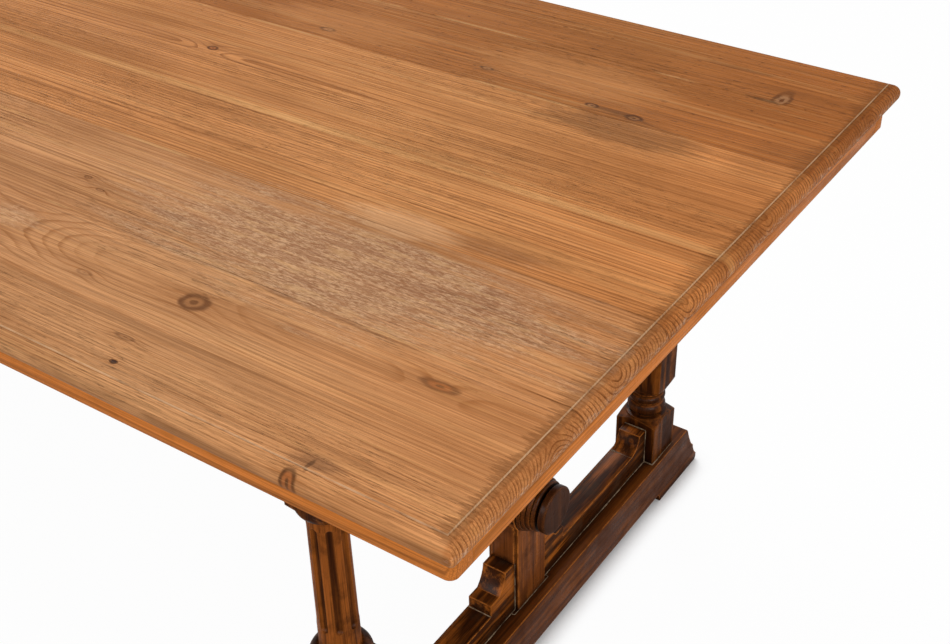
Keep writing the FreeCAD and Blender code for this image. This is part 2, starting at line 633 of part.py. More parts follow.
def column(label, x, y):
    """Square stock with two turned parts, chamfered blocks, a fluted shaft and a tenon at each end."""
    body = new_body(label)
    half = "column_square / 2"
    clear = f"({PAST_CORNERS} * column_square)"
    stock = new_sketch(body, "XY_Plane", "stock", lift="foot_height")
    rectangle(stock, f"-{half}", f"-{half}", half, half)
    raise_pad(body, stock, f"{BEARER_UNDER} - foot_height")
    tenon = new_sketch(body, "XY_Plane", "tenon", lift="foot_height - foot_tenon")
    rectangle(tenon, "-tenon_square / 2", "-tenon_square / 2", "tenon_square / 2", "tenon_square / 2")
    raise_pad(body, tenon, f"{BEARER_UNDER} + bearer_tenon - foot_height + foot_tenon")

    corners = new_sketch(body, "XY_Plane", "corners", lift=BLOCK_UNDER)
    for turn_x, turn_y in ((1, 1), (1, -1), (-1, 1), (-1, -1)):
        outline(corners, [
            (f"{turn_x} * {half}", f"{turn_y} * {half}"),
            (f"{turn_x} * ({half} - column_chamfer)", f"{turn_y} * {half}"),
            (f"{turn_x} * {half}", f"{turn_y} * ({half} - column_chamfer)"),
        ])
    sink_pocket(body, corners, f"{BEARER_UNDER} - {BLOCK_UNDER}", upward=True)

    lower = outline(new_sketch(body, "XZ_Plane", "lower_turning"), [
        (clear, PLINTH_TOP),
        (clear, f"{BLOCK_UNDER} + block_seat"),
        ("collar_radius", f"{BLOCK_UNDER} - block_seat", "neck_flare", -1),
        ("ring_root", f"{BLOCK_UNDER} - block_seat - neck_flare"),
        ("ring_root", RING_HEAD, bulge_radius("upper_ring", "upper_ring_bulge"), -1),
        ("ring_root", f"{RING_HEAD} - upper_ring"),
        ("ring_root", RING_MIDDLE, bulge_radius("lower_ring", "lower_ring_bulge"), -1),
        ("ring_root", RING_FOOT),
        ("collar_radius", f"{RING_FOOT} - ring_gap"),
        ("collar_radius", f"{PLINTH_TOP} + shoulder_height"),
    ])
    turn_groove(body, lower, "V_Axis")

    upper = outline(new_sketch(body, "XZ_Plane", "upper_turning"), [
        (clear, BLOCK_TOP),
        (clear, f"{CAPITAL_TOP} + block_seat"),
        ("capital_radius", CAPITAL_TOP, "capital_curve", -1),
        ("shaft_head_radius", SHAFT_HEAD),
        ("shaft_foot_radius", SHAFT_FOOT),
        ("shaft_foot_radius + ring_gap", SHAFT_FOOT, "ovolo_curve", -1),
        ("ovolo_radius", f"{BLOCK_TOP} + block_seat"),
    ])
    turn_groove(body, upper, "V_Axis")

    flute = new_sketch(body, "XZ_Plane", "flute")
    bind(flute, "AttachmentOffset.Base.x", "(shaft_foot_radius + shaft_head_radius) / 2 + flute_out")
    flute_low = f"({SHAFT_FOOT} + flute_foot_stop)"
    flute_high = f"({SHAFT_HEAD} - flute_head_stop)"
    outline(flute, [
        ("0", flute_low, "flute_radius", 1),
        ("flute_radius", f"{flute_low} + flute_radius"),
        ("flute_radius", f"{flute_high} - flute_radius", "flute_radius", 1),
        ("0", flute_high),
    ])
    groove = turn_groove(body, flute, "V_Axis")
    ring = body.newObject("PartDesign::PolarPattern", f"{label}_flutes")
    ring.Originals = [groove]
    ring.Axis = (next(item for item in body.Origin.OriginFeatures if item.Role == "Z_Axis"), [""])
    ring.Angle = 360.0
    ring.Occurrences = FLUTES
    body.Tip = ring
    place(body, x, y)
    return body


def scroll_rail(label, sign, side):
    """Low rail on the foot that steps up to the post and rises to the plinth."""
    body = new_body(f"{label}_body")
    near = "(post_width / 2)"
    far = "(column_offset - column_square / 2)"
    step_y = f"({near} + post_step_offset)"
    step_z = f"({RAIL_LOW} + post_step)"
    cove_y = f"({step_y} - post_tread)"
    rise_y = f"({far} - plinth_rise_offset)"
    rise_z = f"({RAIL_LOW} + plinth_cove)"
    profile = [
        (near, "foot_height"),
        (far, "foot_height"),
        (far, rise_z),
        (f"{rise_y} + plinth_cove_run", rise_z, "plinth_cove_curve", -1),
        (rise_y, RAIL_LOW),
        (step_y, RAIL_LOW),
        (step_y, step_z),
        (cove_y, step_z, "post_cove_curve", -1),
        (f"{cove_y} - post_cove_run", RAIL_TOP),
        (near, RAIL_TOP),
    ]
    raise_pad(body, outline(new_sketch(body, "YZ_Plane", "side"), profile), "rail_width", both=True)
    place(body, f"{sign} * {TRESTLE}", turn=0.0 if side > 0 else 180.0)
    return body


def centre_post(label, sign):
    """Post of a board with a proud face strip, a round head bored for the stretcher, and a tenon."""
    body = new_body(label)
    edge = "(post_width / 2)"
    wide = f"({edge} + ear_reach)"
    head = f"({wide} + head_reach)"
    wide_neck = f"({STRETCHER_AXIS} - sqrt({head} ^ 2 - {wide} ^ 2))"
    strip_neck = f"({STRETCHER_AXIS} - sqrt({head} ^ 2 - {edge} ^ 2))"
    crown = ("0", f"{STRETCHER_AXIS} + {head}", head, 1)
    tenon = "post_tenon_width / 2"
    board = outline(new_sketch(body, "YZ_Plane", "board"), [
        (f"-{tenon}", "foot_height - foot_tenon"),
        (tenon, "foot_height - foot_tenon"),
        (tenon, "foot_height"),
        (edge, "foot_height"),
        (edge, RAIL_TOP),
        (wide, RAIL_TOP),
        (wide, wide_neck, head, 1),
        crown,
        (f"-{wide}", wide_neck),
        (f"-{wide}", RAIL_TOP),
        (f"-{edge}", RAIL_TOP),
        (f"-{edge}", "foot_height"),
        (f"-{tenon}", "foot_height"),
    ])
    raise_pad(body, board, "post_board", both=True)
    strip = outline(new_sketch(body, "YZ_Plane", "strip"), [
        (f"-{edge}", "foot_height"),
        (edge, "foot_height"),
        (edge, strip_neck, head, 1),
        crown,
        (f"-{edge}", strip_neck),
    ])
    raise_pad(body, strip, "post_thick", both=True)
    bore = new_sketch(body, "YZ_Plane", "bore", lift="post_thick / 2")
    circle(bore, "0", STRETCHER_AXIS, "stretcher_tenon + joint_play")
    sink_pocket(body, bore, "post_thick")
    place(body, f"{sign} * {TRESTLE}")
    return body


def stretcher():
    """Long beam between the posts with a round tenon through each, bored for the caps."""
    body = new_body("stretcher")
    half_run = f"({TRESTLE} - post_thick / 2)"
    beam = new_sketch(body, "YZ_Plane", "beam")
    rectangle(beam, "-stretcher_width / 2", f"{STRETCHER_AXIS} - stretcher_height / 2",
              "stretcher_width / 2", f"{STRETCHER_AXIS} + stretcher_height / 2")
    raise_pad(body, beam, f"2 * {half_run}", both=True)
    tenon = new_sketch(body, "YZ_Plane", "tenon")
    circle(tenon, "0", STRETCHER_AXIS, "stretcher_tenon")
    raise_pad(body, tenon, f"2 * {STRETCHER_END}", both=True)
    for end, sign in (("left", -1), ("right", 1)):
        bore = new_sketch(body, "YZ_Plane", f"{end}_bore", lift=f"{sign} * {STRETCHER_END}")
        circle(bore, "0", STRETCHER_AXIS, "spigot_radius + joint_play")
        sink_pocket(body, bore, "spigot_length + mortise_spare", upward=sign < 0)
    return keep(body, "stretcher")


def boss(label, sign):
    """Turned boss on the post face: beads that shrink outwards, then a neck, bored for the tenon."""
    body = new_body(label)
    bore = "(stretcher_tenon + joint_play)"
    bead = f"(boss_length / {BOSS_BEADS})"
    slope = f"((boss_radius - boss_end_radius) / {BOSS_BEADS})"
    profile = [
        ("0", bore),
        ("boss_length + boss_neck", bore),
        ("boss_length + boss_neck", "boss_neck_radius"),
        ("boss_length", "boss_neck_radius"),
    ]
    for index in range(BOSS_BEADS, 0, -1):
        root = f"boss_radius - {slope} * {index} - boss_bead"
        profile.append((f"{index} * {bead}", root))
        profile.append((f"{index} * {bead}", f"{root} + boss_bead", bulge_radius(bead, "boss_bead"), 1))
        profile.append((f"{index - 1} * {bead}", f"{root} + boss_bead"))
    sketch = outline(new_sketch(body, "XZ_Plane", "profile"), profile)
    turned = body.newObject("PartDesign::Revolution", f"{label}_turned")
    turned.Profile = sketch
    turned.ReferenceAxis = (sketch, ["H_Axis"])
    turned.Angle = 360.0
    place(body, f"{sign} * {BOSS_FACE}", "0", STRETCHER_AXIS, turn=0.0 if sign > 0 else 180.0)
    return body


def end_cap(label, sign):
    """Turned disc with a spigot that is glued into the end of the stretcher."""
    body = new_body(label)
    sketch = outline(new_sketch(body, "XZ_Plane", "profile"), [
        ("-spigot_length", "0"),
        ("cap_thick", "0"),
        ("cap_thick", "cap_radius - cap_round", "cap_round", 1),
        ("cap_thick - cap_round", "cap_radius"),
        ("cap_round", "cap_radius", "cap_round", 1),
        ("0", "cap_radius - cap_round"),
        ("0", "spigot_radius"),
        ("-spigot_length", "spigot_radius"),
    ])
    turned = body.newObject("PartDesign::Revolution", f"{label}_turned")
    turned.Profile = sketch
    turned.ReferenceAxis = (sketch, ["H_Axis"])
    turned.Angle = 360.0
    place(body, f"{sign} * {STRETCHER_END}", "0", STRETCHER_AXIS, turn=0.0 if sign > 0 else 180.0)
    return body


def trestles():
    """Both trestles, with the screws that hold the rails down on the feet."""
    rail_screws = []
    for label, sign in (("left", -1), ("right", 1)):
        x = f"{sign} * {TRESTLE}"
        foot_tools = []
        for end, side in (("front", -1), ("back", 1)):
            keep(column(f"column_{label}_{end}", x, f"{side} * column_offset"), f"column_{label}_{end}")
            rail_tools = []
            spots = (("inner", "(post_width / 2 + rail_screw_inset)"),
                     ("outer", "(column_offset - column_square / 2 - rail_screw_inset)"))
            for spot, inset in spots:
                name = f"rail_{label}_{end}_{spot}"
                y = f"{side} * {inset}"
                reach = "(foot_height - rail_screw_sink + screw_bite)"
                solid, hole = screw(name, x, y, "rail_screw_sink", reach)
                rail_screws.append(solid)
                rail_tools.append(hole)
                foot_tools += [hole, counterbore(name + "_bore", x, y, "0", "rail_screw_sink")]
            node = f"scroll_rail_{label}_{end}"
            keep(cut(f"{node}_cut", scroll_rail(node, sign, side), rail_tools), node)
        keep(cut(f"foot_{label}_cut", foot(label, sign), foot_tools), f"foot_{label}")
        keep(centre_post(f"centre_post_{label}", sign), f"centre_post_{label}")
        keep(boss(f"stretcher_boss_{label}", sign), f"stretcher_boss_{label}")
        keep(end_cap(f"end_cap_{label}", sign), f"end_cap_{label}")
    keep(join("rail_screw_set", "Part::Compound", rail_screws), "rail_screws")
    stretcher()


def check_and_write():
    """Refuse a failed or empty object, then write one file for each piece."""
    doc.recompute()
    for item in doc.Objects:
        if "Invalid" in item.State or "Error" in item.State:
            raise RuntimeError(f"{item.Name} failed: {item.State}")
    for piece in pieces:
        if piece.Shape.isNull() or not piece.Shape.isValid():
            raise RuntimeError(f"{piece.Label} has no valid shape")
    os.makedirs("parts", exist_ok=True)
    for piece in pieces:
        piece.Shape.exportStep(f"parts/{piece.Label}.step")
        print(f"{piece.Label}: {len(piece.Shape.Solids)} solid(s), {piece.Shape.Volume / 1000:.1f} cm3")


planks(apron_and_screws())
corner_blocks()
trestles()
check_and_write()
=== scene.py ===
# %% [markdown]
# # A refectory table, dressed from its CAD model
# The table is a long top of old pine planks on two stained trestles. The CAD model gives every size and
# place. Here it gets worn wood: planks with eased joints and a weathered face, base pieces with soft
# arrises, and finishes made only from shader nodes. Lengths are in metres, in the frame of the CAD model.

# %% Load the packed model, with a helper for a part's box
import math

import bmesh
import bpy
import numpy
from mathutils import Matrix, Vector


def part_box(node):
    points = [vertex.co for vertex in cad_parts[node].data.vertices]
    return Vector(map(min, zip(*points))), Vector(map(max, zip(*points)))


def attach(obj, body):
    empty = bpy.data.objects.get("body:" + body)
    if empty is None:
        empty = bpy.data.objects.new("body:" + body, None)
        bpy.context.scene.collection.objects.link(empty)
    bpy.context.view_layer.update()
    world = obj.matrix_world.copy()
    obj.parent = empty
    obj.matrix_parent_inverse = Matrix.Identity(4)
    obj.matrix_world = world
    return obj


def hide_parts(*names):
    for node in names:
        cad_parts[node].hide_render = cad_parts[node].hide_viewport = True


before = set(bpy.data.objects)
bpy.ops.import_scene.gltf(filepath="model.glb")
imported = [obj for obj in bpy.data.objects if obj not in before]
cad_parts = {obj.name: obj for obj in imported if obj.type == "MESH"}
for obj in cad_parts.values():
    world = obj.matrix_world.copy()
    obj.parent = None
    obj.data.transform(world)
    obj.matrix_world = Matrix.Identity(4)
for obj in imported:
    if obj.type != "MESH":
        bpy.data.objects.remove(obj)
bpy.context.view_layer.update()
MM = 0.001

# %% [markdown]
# ## Camera
# The photograph looks down on the right end of the table from about standing height. Its place, turn and
# lens were worked out from the table's own straight edges. The camera's three axes are written as a matrix,
# which keeps the small tilt of the picture.

# %% Place the camera
CAMERA_PLACE = Vector((1.7264, -1.2121, 1.5980))
CAMERA_YAW = 2.183645
CAMERA_DIP = 0.615898
CAMERA_TILT = -0.025313

look = Vector((
    math.cos(CAMERA_DIP) * math.cos(CAMERA_YAW),
    math.cos(CAMERA_DIP) * math.sin(CAMERA_YAW),
    -math.sin(CAMERA_DIP),
))
level_right = look.cross(Vector((0, 0, 1))).normalized()
level_up = level_right.cross(look)
camera_right = math.cos(CAMERA_TILT) * level_right + math.sin(CAMERA_TILT) * level_up
camera_up = camera_right.cross(look)

camera_data = bpy.data.cameras.new("photo_camera")
camera_data.lens = 52.72
camera_data.sensor_width = 36.0
camera_data.clip_end = 60.0
camera = bpy.data.objects.new("photo_camera", camera_data)
bpy.context.scene.collection.objects.link(camera)
turn = Matrix((camera_right, camera_up, -look)).transposed()
camera.matrix_world = Matrix.Translation(CAMERA_PLACE) @ turn.to_4x4()
bpy.context.scene.camera = camera
bpy.context.scene.view_settings.view_transform = "Standard"
print("camera looks along", [round(part, 3) for part in look])

# %% [markdown]
# ## Nodes in few words
# Every finish below is a net of nodes. This class adds a node, fills its inputs with numbers or with the
# outputs of other nodes, and gives back the output, so that a finish reads like a short recipe.


# %% A node tree with short calls
class Net:
    """A node tree with short calls for the nodes that the finishes use."""

    def __init__(self, tree):
        self.tree = tree

    def fill(self, node, inputs):
        """Set each input to a number, or link it to another node's output."""
        for key, item in inputs.items():
            if isinstance(item, bpy.types.NodeSocket):
                self.tree.links.new(item, node.inputs[key])
            else:
                node.inputs[key].default_value = item

    def put(self, kind, inputs=None, **settings):
        """Add a node and give back its outputs."""
        node = self.tree.nodes.new(kind)
        for name, setting in settings.items():
            setattr(node, name, setting)
        self.fill(node, inputs or {})
        return node.outputs

    def group(self, group, **inputs):
        """Put in a node group; an underscore in a name stands for a space."""
        named = {label.replace("_", " "): item for label, item in inputs.items()}
        return self.put("ShaderNodeGroup", named, node_tree=group)

    def calc(self, operation, *items, clamp=False):
        """One step of arithmetic."""
        return self.put("ShaderNodeMath", dict(enumerate(items)), operation=operation, use_clamp=clamp)[0]

    def times(self, first, *others):
        """A product."""
        for other in others:
            first = self.calc("MULTIPLY", first, other)
        return first

    def plus(self, first, second):
        """A sum."""
        return self.calc("ADD", first, second)

    def minus(self, first, second):
        """A difference."""
        return self.calc("SUBTRACT", first, second)

    def vector(self, operation, *items):
        """One step of arithmetic on vectors."""
        outputs = self.put("ShaderNodeVectorMath", dict(enumerate(items)), operation=operation)
        return outputs["Value" if operation in ("LENGTH", "DOT_PRODUCT") else "Vector"]

    def parts(self, vector):
        """The three parts of a vector."""
        return self.put("ShaderNodeSeparateXYZ", {0: vector})

    def join(self, x=0.0, y=0.0, z=0.0):
        """A vector from its three parts."""
        return self.put("ShaderNodeCombineXYZ", {0: x, 1: y, 2: z})[0]

    def ease(self, item, low, high, first=0.0, last=1.0):
        """A soft step from first to last while the item goes from low to high."""
        inputs = {"Value": item, "From Min": low, "From Max": high, "To Min": first, "To Max": last}
        return self.put("ShaderNodeMapRange", inputs, interpolation_type="SMOOTHSTEP")[0]

    def speckle(self, vector, scale=1.0, detail=2.0, roughness=0.5):
        """A smooth random value near one half."""
        inputs = {"Vector": vector, "Scale": scale, "Detail": detail, "Roughness": roughness}
        return self.put("ShaderNodeTexNoise", inputs)["Fac"]

    def streaky(self, vector, factors, detail=2.0, roughness=0.5, shift=(0, 0, 0)):
        """Speckle on coordinates that are scaled along each axis and then shifted."""
        return self.speckle(self.vector("MULTIPLY_ADD", vector, factors, shift), 1.0, detail, roughness)

    def mix(self, share, first, last, kind="MIX"):
        """Mix two colours."""
        first, last = ((*item, 1.0) if isinstance(item, tuple) else item for item in (first, last))
        inputs = {0: share, 6: first, 7: last}
        return self.put("ShaderNodeMix", inputs, data_type="RGBA", blend_type=kind)[2]

    def bump(self, height, distance, **normal):
        """A normal with fine relief, laid over another normal where one is given."""
        inputs = {"Height": height, "Distance": distance, "Strength": 1.0, **normal}
        return self.put("ShaderNodeBump", inputs)[0]


def new_group(name, inputs, outputs):
    """A shader node group with named sockets."""
    group = bpy.data.node_groups.new(name, "ShaderNodeTree")
    for label, default in inputs.items():
        kind = "NodeSocketFloat"
        if isinstance(default, tuple):
            kind = "NodeSocketColor" if len(default) == 4 else "NodeSocketVector"
        group.interface.new_socket(label, in_out="INPUT", socket_type=kind).default_value = default
    for label, kind in outputs.items():
        group.interface.new_socket(label, in_out="OUTPUT", socket_type="NodeSocket" + kind)
    net = Net(group)
    return group, net, net.put("NodeGroupInput")


def finish_group(net, results):
    """Link the results to the group's outputs."""
    net.fill(net.tree.nodes.new("NodeGroupOutput"), results)
    print(net.tree.name, "has", len(net.tree.nodes), "nodes")


print("the net's calls:", [name for name in vars(Net) if not name.startswith("_")])

# %% [markdown]
# ## Growth rings
# A board is a slice of a tree. Its rings are long tubes round the pith, so one recipe in three dimensions
# gives straight lines on a quarter-sawn face, arches on a flat-sawn face and arcs on the end grain, all
# joined up. The tubes wander a little along the trunk, which a noise stretched along the grain gives. The
# grain runs along X in this group.

# %% Growth rings as a node group
growth_rings, net, start = new_group(
    "growth_rings",
    {"Vector": (0, 0, 0), "Pith": (0, 0, 0), "Spacing": 0.005, "Wander": 0.012, "Bend": 0.0, "Seed": 0.0},
    {"Late": "Float", "Ring": "Float", "Fibre": "Float", "Hair": "Float"},
)
seed = start["Seed"]
seeded = net.vector("ADD", start["Vector"], net.join(seed, seed, seed))
drift_place = net.vector("MULTIPLY_ADD", seeded, (0.8, 4.0, 4.0), (0, 0, 0))
drift = net.put("ShaderNodeTexNoise", {"Vector": drift_place, "Scale": 1.0, "Detail": 2.0})["Color"]
drift = net.vector("SUBTRACT", drift, (0.5, 0.5, 0.5))
drift = net.put("ShaderNodeVectorMath", {0: drift, "Scale": start["Wander"]}, operation="SCALE")[0]
from_pith = net.vector("ADD", net.vector("SUBTRACT", start["Vector"], start["Pith"]), drift)
radius = net.vector("LENGTH", net.vector("MULTIPLY", from_pith, (0, 1, 1)))
ragged = net.calc("MULTIPLY_ADD", net.streaky(seeded, (5.0, 110.0, 110.0), 3), 0.36, -0.18)
count = net.calc("DIVIDE", radius, start["Spacing"])
uneven = net.speckle(net.join(count, seed), 0.16)
count = net.calc("MULTIPLY_ADD", uneven, 3.0, count)
count = net.plus(net.plus(count, ragged), start["Bend"])
phase = net.calc("FRACT", count)
ring_number = net.calc("FLOOR", count)
hair = net.streaky(seeded, (1.4, 170.0, 170.0), 3, 0.6, (3, 1, 2))
hair = net.calc("ABSOLUTE", net.minus(hair, 0.5))
finish_group(net, {
    "Late": net.times(net.ease(phase, 0.52, 0.90), net.ease(phase, 0.90, 1.0, 1.0, 0.0)),
    "Ring": net.put("ShaderNodeTexWhiteNoise", {"W": ring_number}, noise_dimensions="1D")["Value"],
    "Fibre": net.streaky(seeded, (5.0, 640.0, 640.0), 4, 0.65),
    "Hair": net.ease(hair, 0.004, 0.026, 1.0, 0.0),
})

# %% [markdown]
# ## Knots
# A knot is the foot of a branch. The rings of the trunk bend round it and its own rings show as a dark
# oval. The group gives how far the trunk's rings are pushed, a mask for the oval, the oval's rings and a
# halo.

# %% Knots as a node group
knot_eye, net, start = new_group(
    "knot_eye",
    {"Vector": (0, 0, 0), "Centre": (0, 0, 0), "Radius": 0.01, "Stretch": 1.4, "Push": 3.0},
    {"Bend": "Float", "Inside": "Float", "Rim": "Float", "Halo": "Float"},
)
offset = net.parts(net.vector("SUBTRACT", start["Vector"], start["Centre"]))
flat_place = net.join(net.calc("DIVIDE", offset[0], start["Stretch"]), offset[1])
distance = net.calc("DIVIDE", net.vector("LENGTH", flat_place), start["Radius"])
uneven = net.speckle(start["Vector"], 70.0, 3, 0.5)
distance = net.plus(distance, net.calc("MULTIPLY_ADD", uneven, 0.5, -0.25))
reach = net.join(net.calc("DIVIDE", offset[0], 2.2), offset[1])
far = net.calc("DIVIDE", net.vector("LENGTH", reach), start["Radius"])
bulge = net.calc("EXPONENT", net.times(far, far, -0.16))
finish_group(net, {
    "Bend": net.times(bulge, start["Push"]),
    "Inside": net.ease(distance, 0.8, 1.15, 1.0, 0.0),
    "Rim": net.calc("MAXIMUM", net.ease(distance, 0.42, 0.72), net.ease(distance, 0.30, 0.12)),
    "Halo": net.ease(distance, 0.9, 3.4, 1.0, 0.0),
})

# %% [markdown]
# ## Wear and painted highlight on arrises, painted shade in crevices
# Waxed and handled edges lose their stain first; the amber that marks them is partly that wear and partly a
# painted highlight on the proud edges. The Bevel node gives the normal of a rounded edge: where it differs
# from the true normal there is an edge. The strips that are rounded in the mesh itself, further on, carry an
# attribute that says so. A short ambient-occlusion reading tells a proud edge from an inner corner, and a
# noise breaks the line up. The same reading gives a painted shade that darkens crevices and inner corners.

# %% Worn arrises with painted highlight, and painted crevice shade, as a node group
worn_and_lit_arris, net, start = new_group(
    "worn_and_lit_arris",
    {"Vector": (0, 0, 0), "Width": 0.004, "Noise scale": 45.0, "Amount": 1.0},
    {"Worn and lit": "Float", "Crevice shade": "Float", "Normal": "Vector"},
)
rounded = net.put("ShaderNodeBevel", {"Radius": start["Width"]}, samples=6)[0]
true_normal = net.put("ShaderNodeNewGeometry")["Normal"]
agree = net.vector("DOT_PRODUCT", rounded, true_normal)
strip = net.put("ShaderNodeAttribute", attribute_name="eased_strip")["Fac"]
edge = net.calc("MAXIMUM", net.ease(agree, 0.995, 0.86), strip)
# The ambient-occlusion reading keeps the wear off inner corners and makes the painted crevice shade.
open_air = net.put("ShaderNodeAmbientOcclusion", {"Distance": 0.02}, samples=6)["AO"]
patchy = net.speckle(start["Vector"], start["Noise scale"], 4, 0.65)
# Worn arrises: partly wear, partly a painted highlight on the proud edges.
worn = net.times(edge, net.ease(open_air, 0.55, 0.85), net.ease(patchy, 0.34, 0.56, 0.15, 1.0))
finish_group(net, {
    "Worn and lit": net.calc("MULTIPLY", worn, start["Amount"], clamp=True),
    "Crevice shade": net.ease(open_air, 0.80, 0.35),
    "Normal": rounded,
})

# %% [markdown]
# ## Spots and smudges
# Spilt stain, old nails and bruises leave dark marks with ragged rims, longer along the grain than across.
# One group draws such a mark as a soft oval that a noise has frayed.

# %% A frayed oval mark as a node group
frayed_mark, net, start = new_group(
    "frayed_mark",
    {"Vector": (0, 0, 0), "Centre": (0, 0, 0), "Half length": 0.1, "Half width": 0.03, "Fray": 0.8},
    {"Mask": "Float"},
)
offset = net.parts(net.vector("SUBTRACT", start["Vector"], start["Centre"]))
shares = net.join(
    net.calc("DIVIDE", offset[0], start["Half length"]),
    net.calc("DIVIDE", offset[1], start["Half width"]),
)
fray = net.streaky(start["Vector"], (14.0, 120.0, 120.0), 5, 0.7)
fray = net.times(net.minus(fray, 0.5), start["Fray"], 2.0)
frayed_oval = net.plus(net.vector("LENGTH", shares), fray)
finish_group(net, {"Mask": net.ease(frayed_oval, 0.45, 1.05, 1.0, 0.0)})

# %% [markdown]
# ## What years of use did to the top
# One group ages the whole top. It reads the place on the table, so a stain runs across the planks as it
# should. It starts with the tone: brown clouds, darker and paler bands along the grain, a duller middle and
# golden ends.

# %% Start the age of the top: tone
TOP_LENGTH = 2438.4 * MM
TOP_WIDTH = 1066.4 * MM
TOP_FACE = 762.0 * MM
BROWN_CLOUD = (0.27, 0.100, 0.030)
DARK_BAND = (0.28, 0.105, 0.030)
PALE_BAND = (0.72, 0.38, 0.150)
DULL_TINT = (0.92, 0.90, 0.90)
GOLDEN_TINT = (1.08, 0.99, 0.90)


def edge_distances(net, where):
    """The parts of a place, and how far it is from the ends and the long sides of the top."""
    x, y, z = net.parts(where)
    from_end = net.minus(TOP_LENGTH / 2, net.calc("ABSOLUTE", x))
    from_side = net.minus(TOP_WIDTH / 2, net.calc("ABSOLUTE", y))
    return x, y, z, from_end, from_side


aged_top, net, start = new_group(
    "aged_top",
    {"Vector": (0, 0, 0), "Color": (0.5, 0.23, 0.09, 1), "Low joint": -0.5, "High joint": 0.5, "Fibre": 0.5},
    {"Color": "Color", "Roughness": "Float", "Height": "Float"},
)
where = start["Vector"]
x, y, z, from_end, from_side = edge_distances(net, where)
on_top = net.ease(z, TOP_FACE - 4.5 * MM, TOP_FACE - 3.0 * MM)
broad = net.streaky(where, (2.2, 11.0, 11.0), 5, 0.6)
color = net.mix(net.ease(broad, 0.40, 0.70, 0.0, 0.46), start["Color"], BROWN_CLOUD)
bands = net.streaky(where, (1.4, 55.0, 55.0), 4, 0.6, (7, 3, 1))
color = net.mix(net.ease(bands, 0.52, 0.68, 0.0, 0.32), color, DARK_BAND)
color = net.mix(net.ease(bands, 0.48, 0.30, 0.0, 0.25), color, PALE_BAND)
from_middle = net.calc("ABSOLUTE", x)
color = net.mix(net.ease(from_middle, 0.78, 0.30), color, DULL_TINT, "MULTIPLY")
color = net.mix(net.ease(from_middle, 0.80, 1.20), color, GOLDEN_TINT, "MULTIPLY")
print("tone of the top uses", len(aged_top.nodes), "nodes so far")

# %% [markdown]
# ## Streaks, flecks and checks
# Fine streaks follow the grain, dark flecks sit on the far planks, a strip of pale sapwood runs beside the
# middle joint, and short cracks, which joiners call checks, have opened in places.

# %% Fine marks along the grain
DARK_STREAK = (0.20, 0.068, 0.017)
PALE_STREAK = (0.82, 0.42, 0.150)
FLECK = (0.075, 0.026, 0.010)
SAPWOOD = (0.72, 0.38, 0.145)
SAPWOOD_LINE = 8 * MM
CHECK = (0.12, 0.042, 0.014)

streak = net.streaky(where, (3.0, 260.0, 260.0), 4, 0.65, (6, 1, 3))
streak_zone = net.ease(broad, 0.35, 0.60, 0.1, 1.0)
color = net.mix(net.times(net.ease(streak, 0.54, 0.66, 0.0, 0.27), streak_zone), color, DARK_STREAK)
color = net.mix(net.ease(streak, 0.43, 0.32, 0.0, 0.20), color, PALE_STREAK)

flecks = net.streaky(where, (55.0, 260.0, 260.0), 2, 0.5, (4, 2, 8))
fleck_zone = net.ease(y, 0.10, 0.28, 0.10, 0.60)
color = net.mix(net.times(net.ease(flecks, 0.655, 0.69), fleck_zone), color, FLECK)

from_sapwood = net.calc("ABSOLUTE", net.minus(y, SAPWOOD_LINE))
sapwood = net.ease(from_sapwood, 3 * MM, 10 * MM, 1.0, 0.0)
color = net.mix(net.times(sapwood, net.ease(broad, 0.62, 0.38, 0.3, 0.75)), color, SAPWOOD)

checks = net.streaky(where, (30.0, 1000.0, 1000.0), 3, 0.7, (2, 9, 4))
check_zone = net.streaky(where, (2.0, 9.0, 9.0), 3, 0.5, (5, 5, 5))
checks = net.times(net.ease(checks, 0.58, 0.68), net.ease(check_zone, 0.42, 0.66))
color = net.mix(net.times(checks, 0.28), color, CHECK)
print("fine marks bring it to", len(aged_top.nodes), "nodes")

# %% [markdown]
# ## Stain and smudges
# The ends have drunk dark stain, which creeps inwards along the grain by an uneven amount. Then come the
# smudges, bruises and broad paler or darker places, each a frayed oval at its own place on the table.

# %% End stain and frayed marks
END_STAIN = (0.13, 0.042, 0.009)
STAIN_EDGE = 0.016
INK = (0.115, 0.044, 0.015)
DIRT = (0.19, 0.070, 0.020)
BARK = (0.070, 0.026, 0.010)
SPLIT = (0.060, 0.024, 0.010)
DULL = (0.25, 0.092, 0.028)
GOLD = (0.60, 0.265, 0.095)

# Each mark: middle along and across the table, half length and half width in millimetres, share, colour.
TOP_MARKS = (
    (968, 206, 130, 46, 0.50, INK),
    (720, -442, 330, 13, 0.32, DIRT),
    (1084, 384, 34, 5, 0.70, BARK),
    (932, 250, 46, 6, 0.60, (0.10, 0.038, 0.014)),
    (1052, -506, 34, 13, 0.50, (0.15, 0.064, 0.030)),
    (1046, -512, 3, 12, 0.60, SPLIT),
    (985, -118, 80, 22, 0.40, (0.18, 0.074, 0.028)),
    (910, -317, 120, 5, 0.55, (0.19, 0.066, 0.018)),
    (1010, 455, 70, 8, 0.40, (0.14, 0.052, 0.016)),
    (470, -405, 40, 9, 0.35, (0.20, 0.076, 0.024)),
    (100, 70, 240, 110, 0.22, DULL),
    (430, -300, 130, 80, 0.18, DULL),
    (1165, 230, 60, 90, 0.24, (0.22, 0.080, 0.024)),
    (460, 290, 170, 60, 0.30, GOLD),
    (830, 315, 180, 66, 0.34, GOLD),
    (865, -132, 100, 34, 0.34, (0.80, 0.48, 0.250)),
)

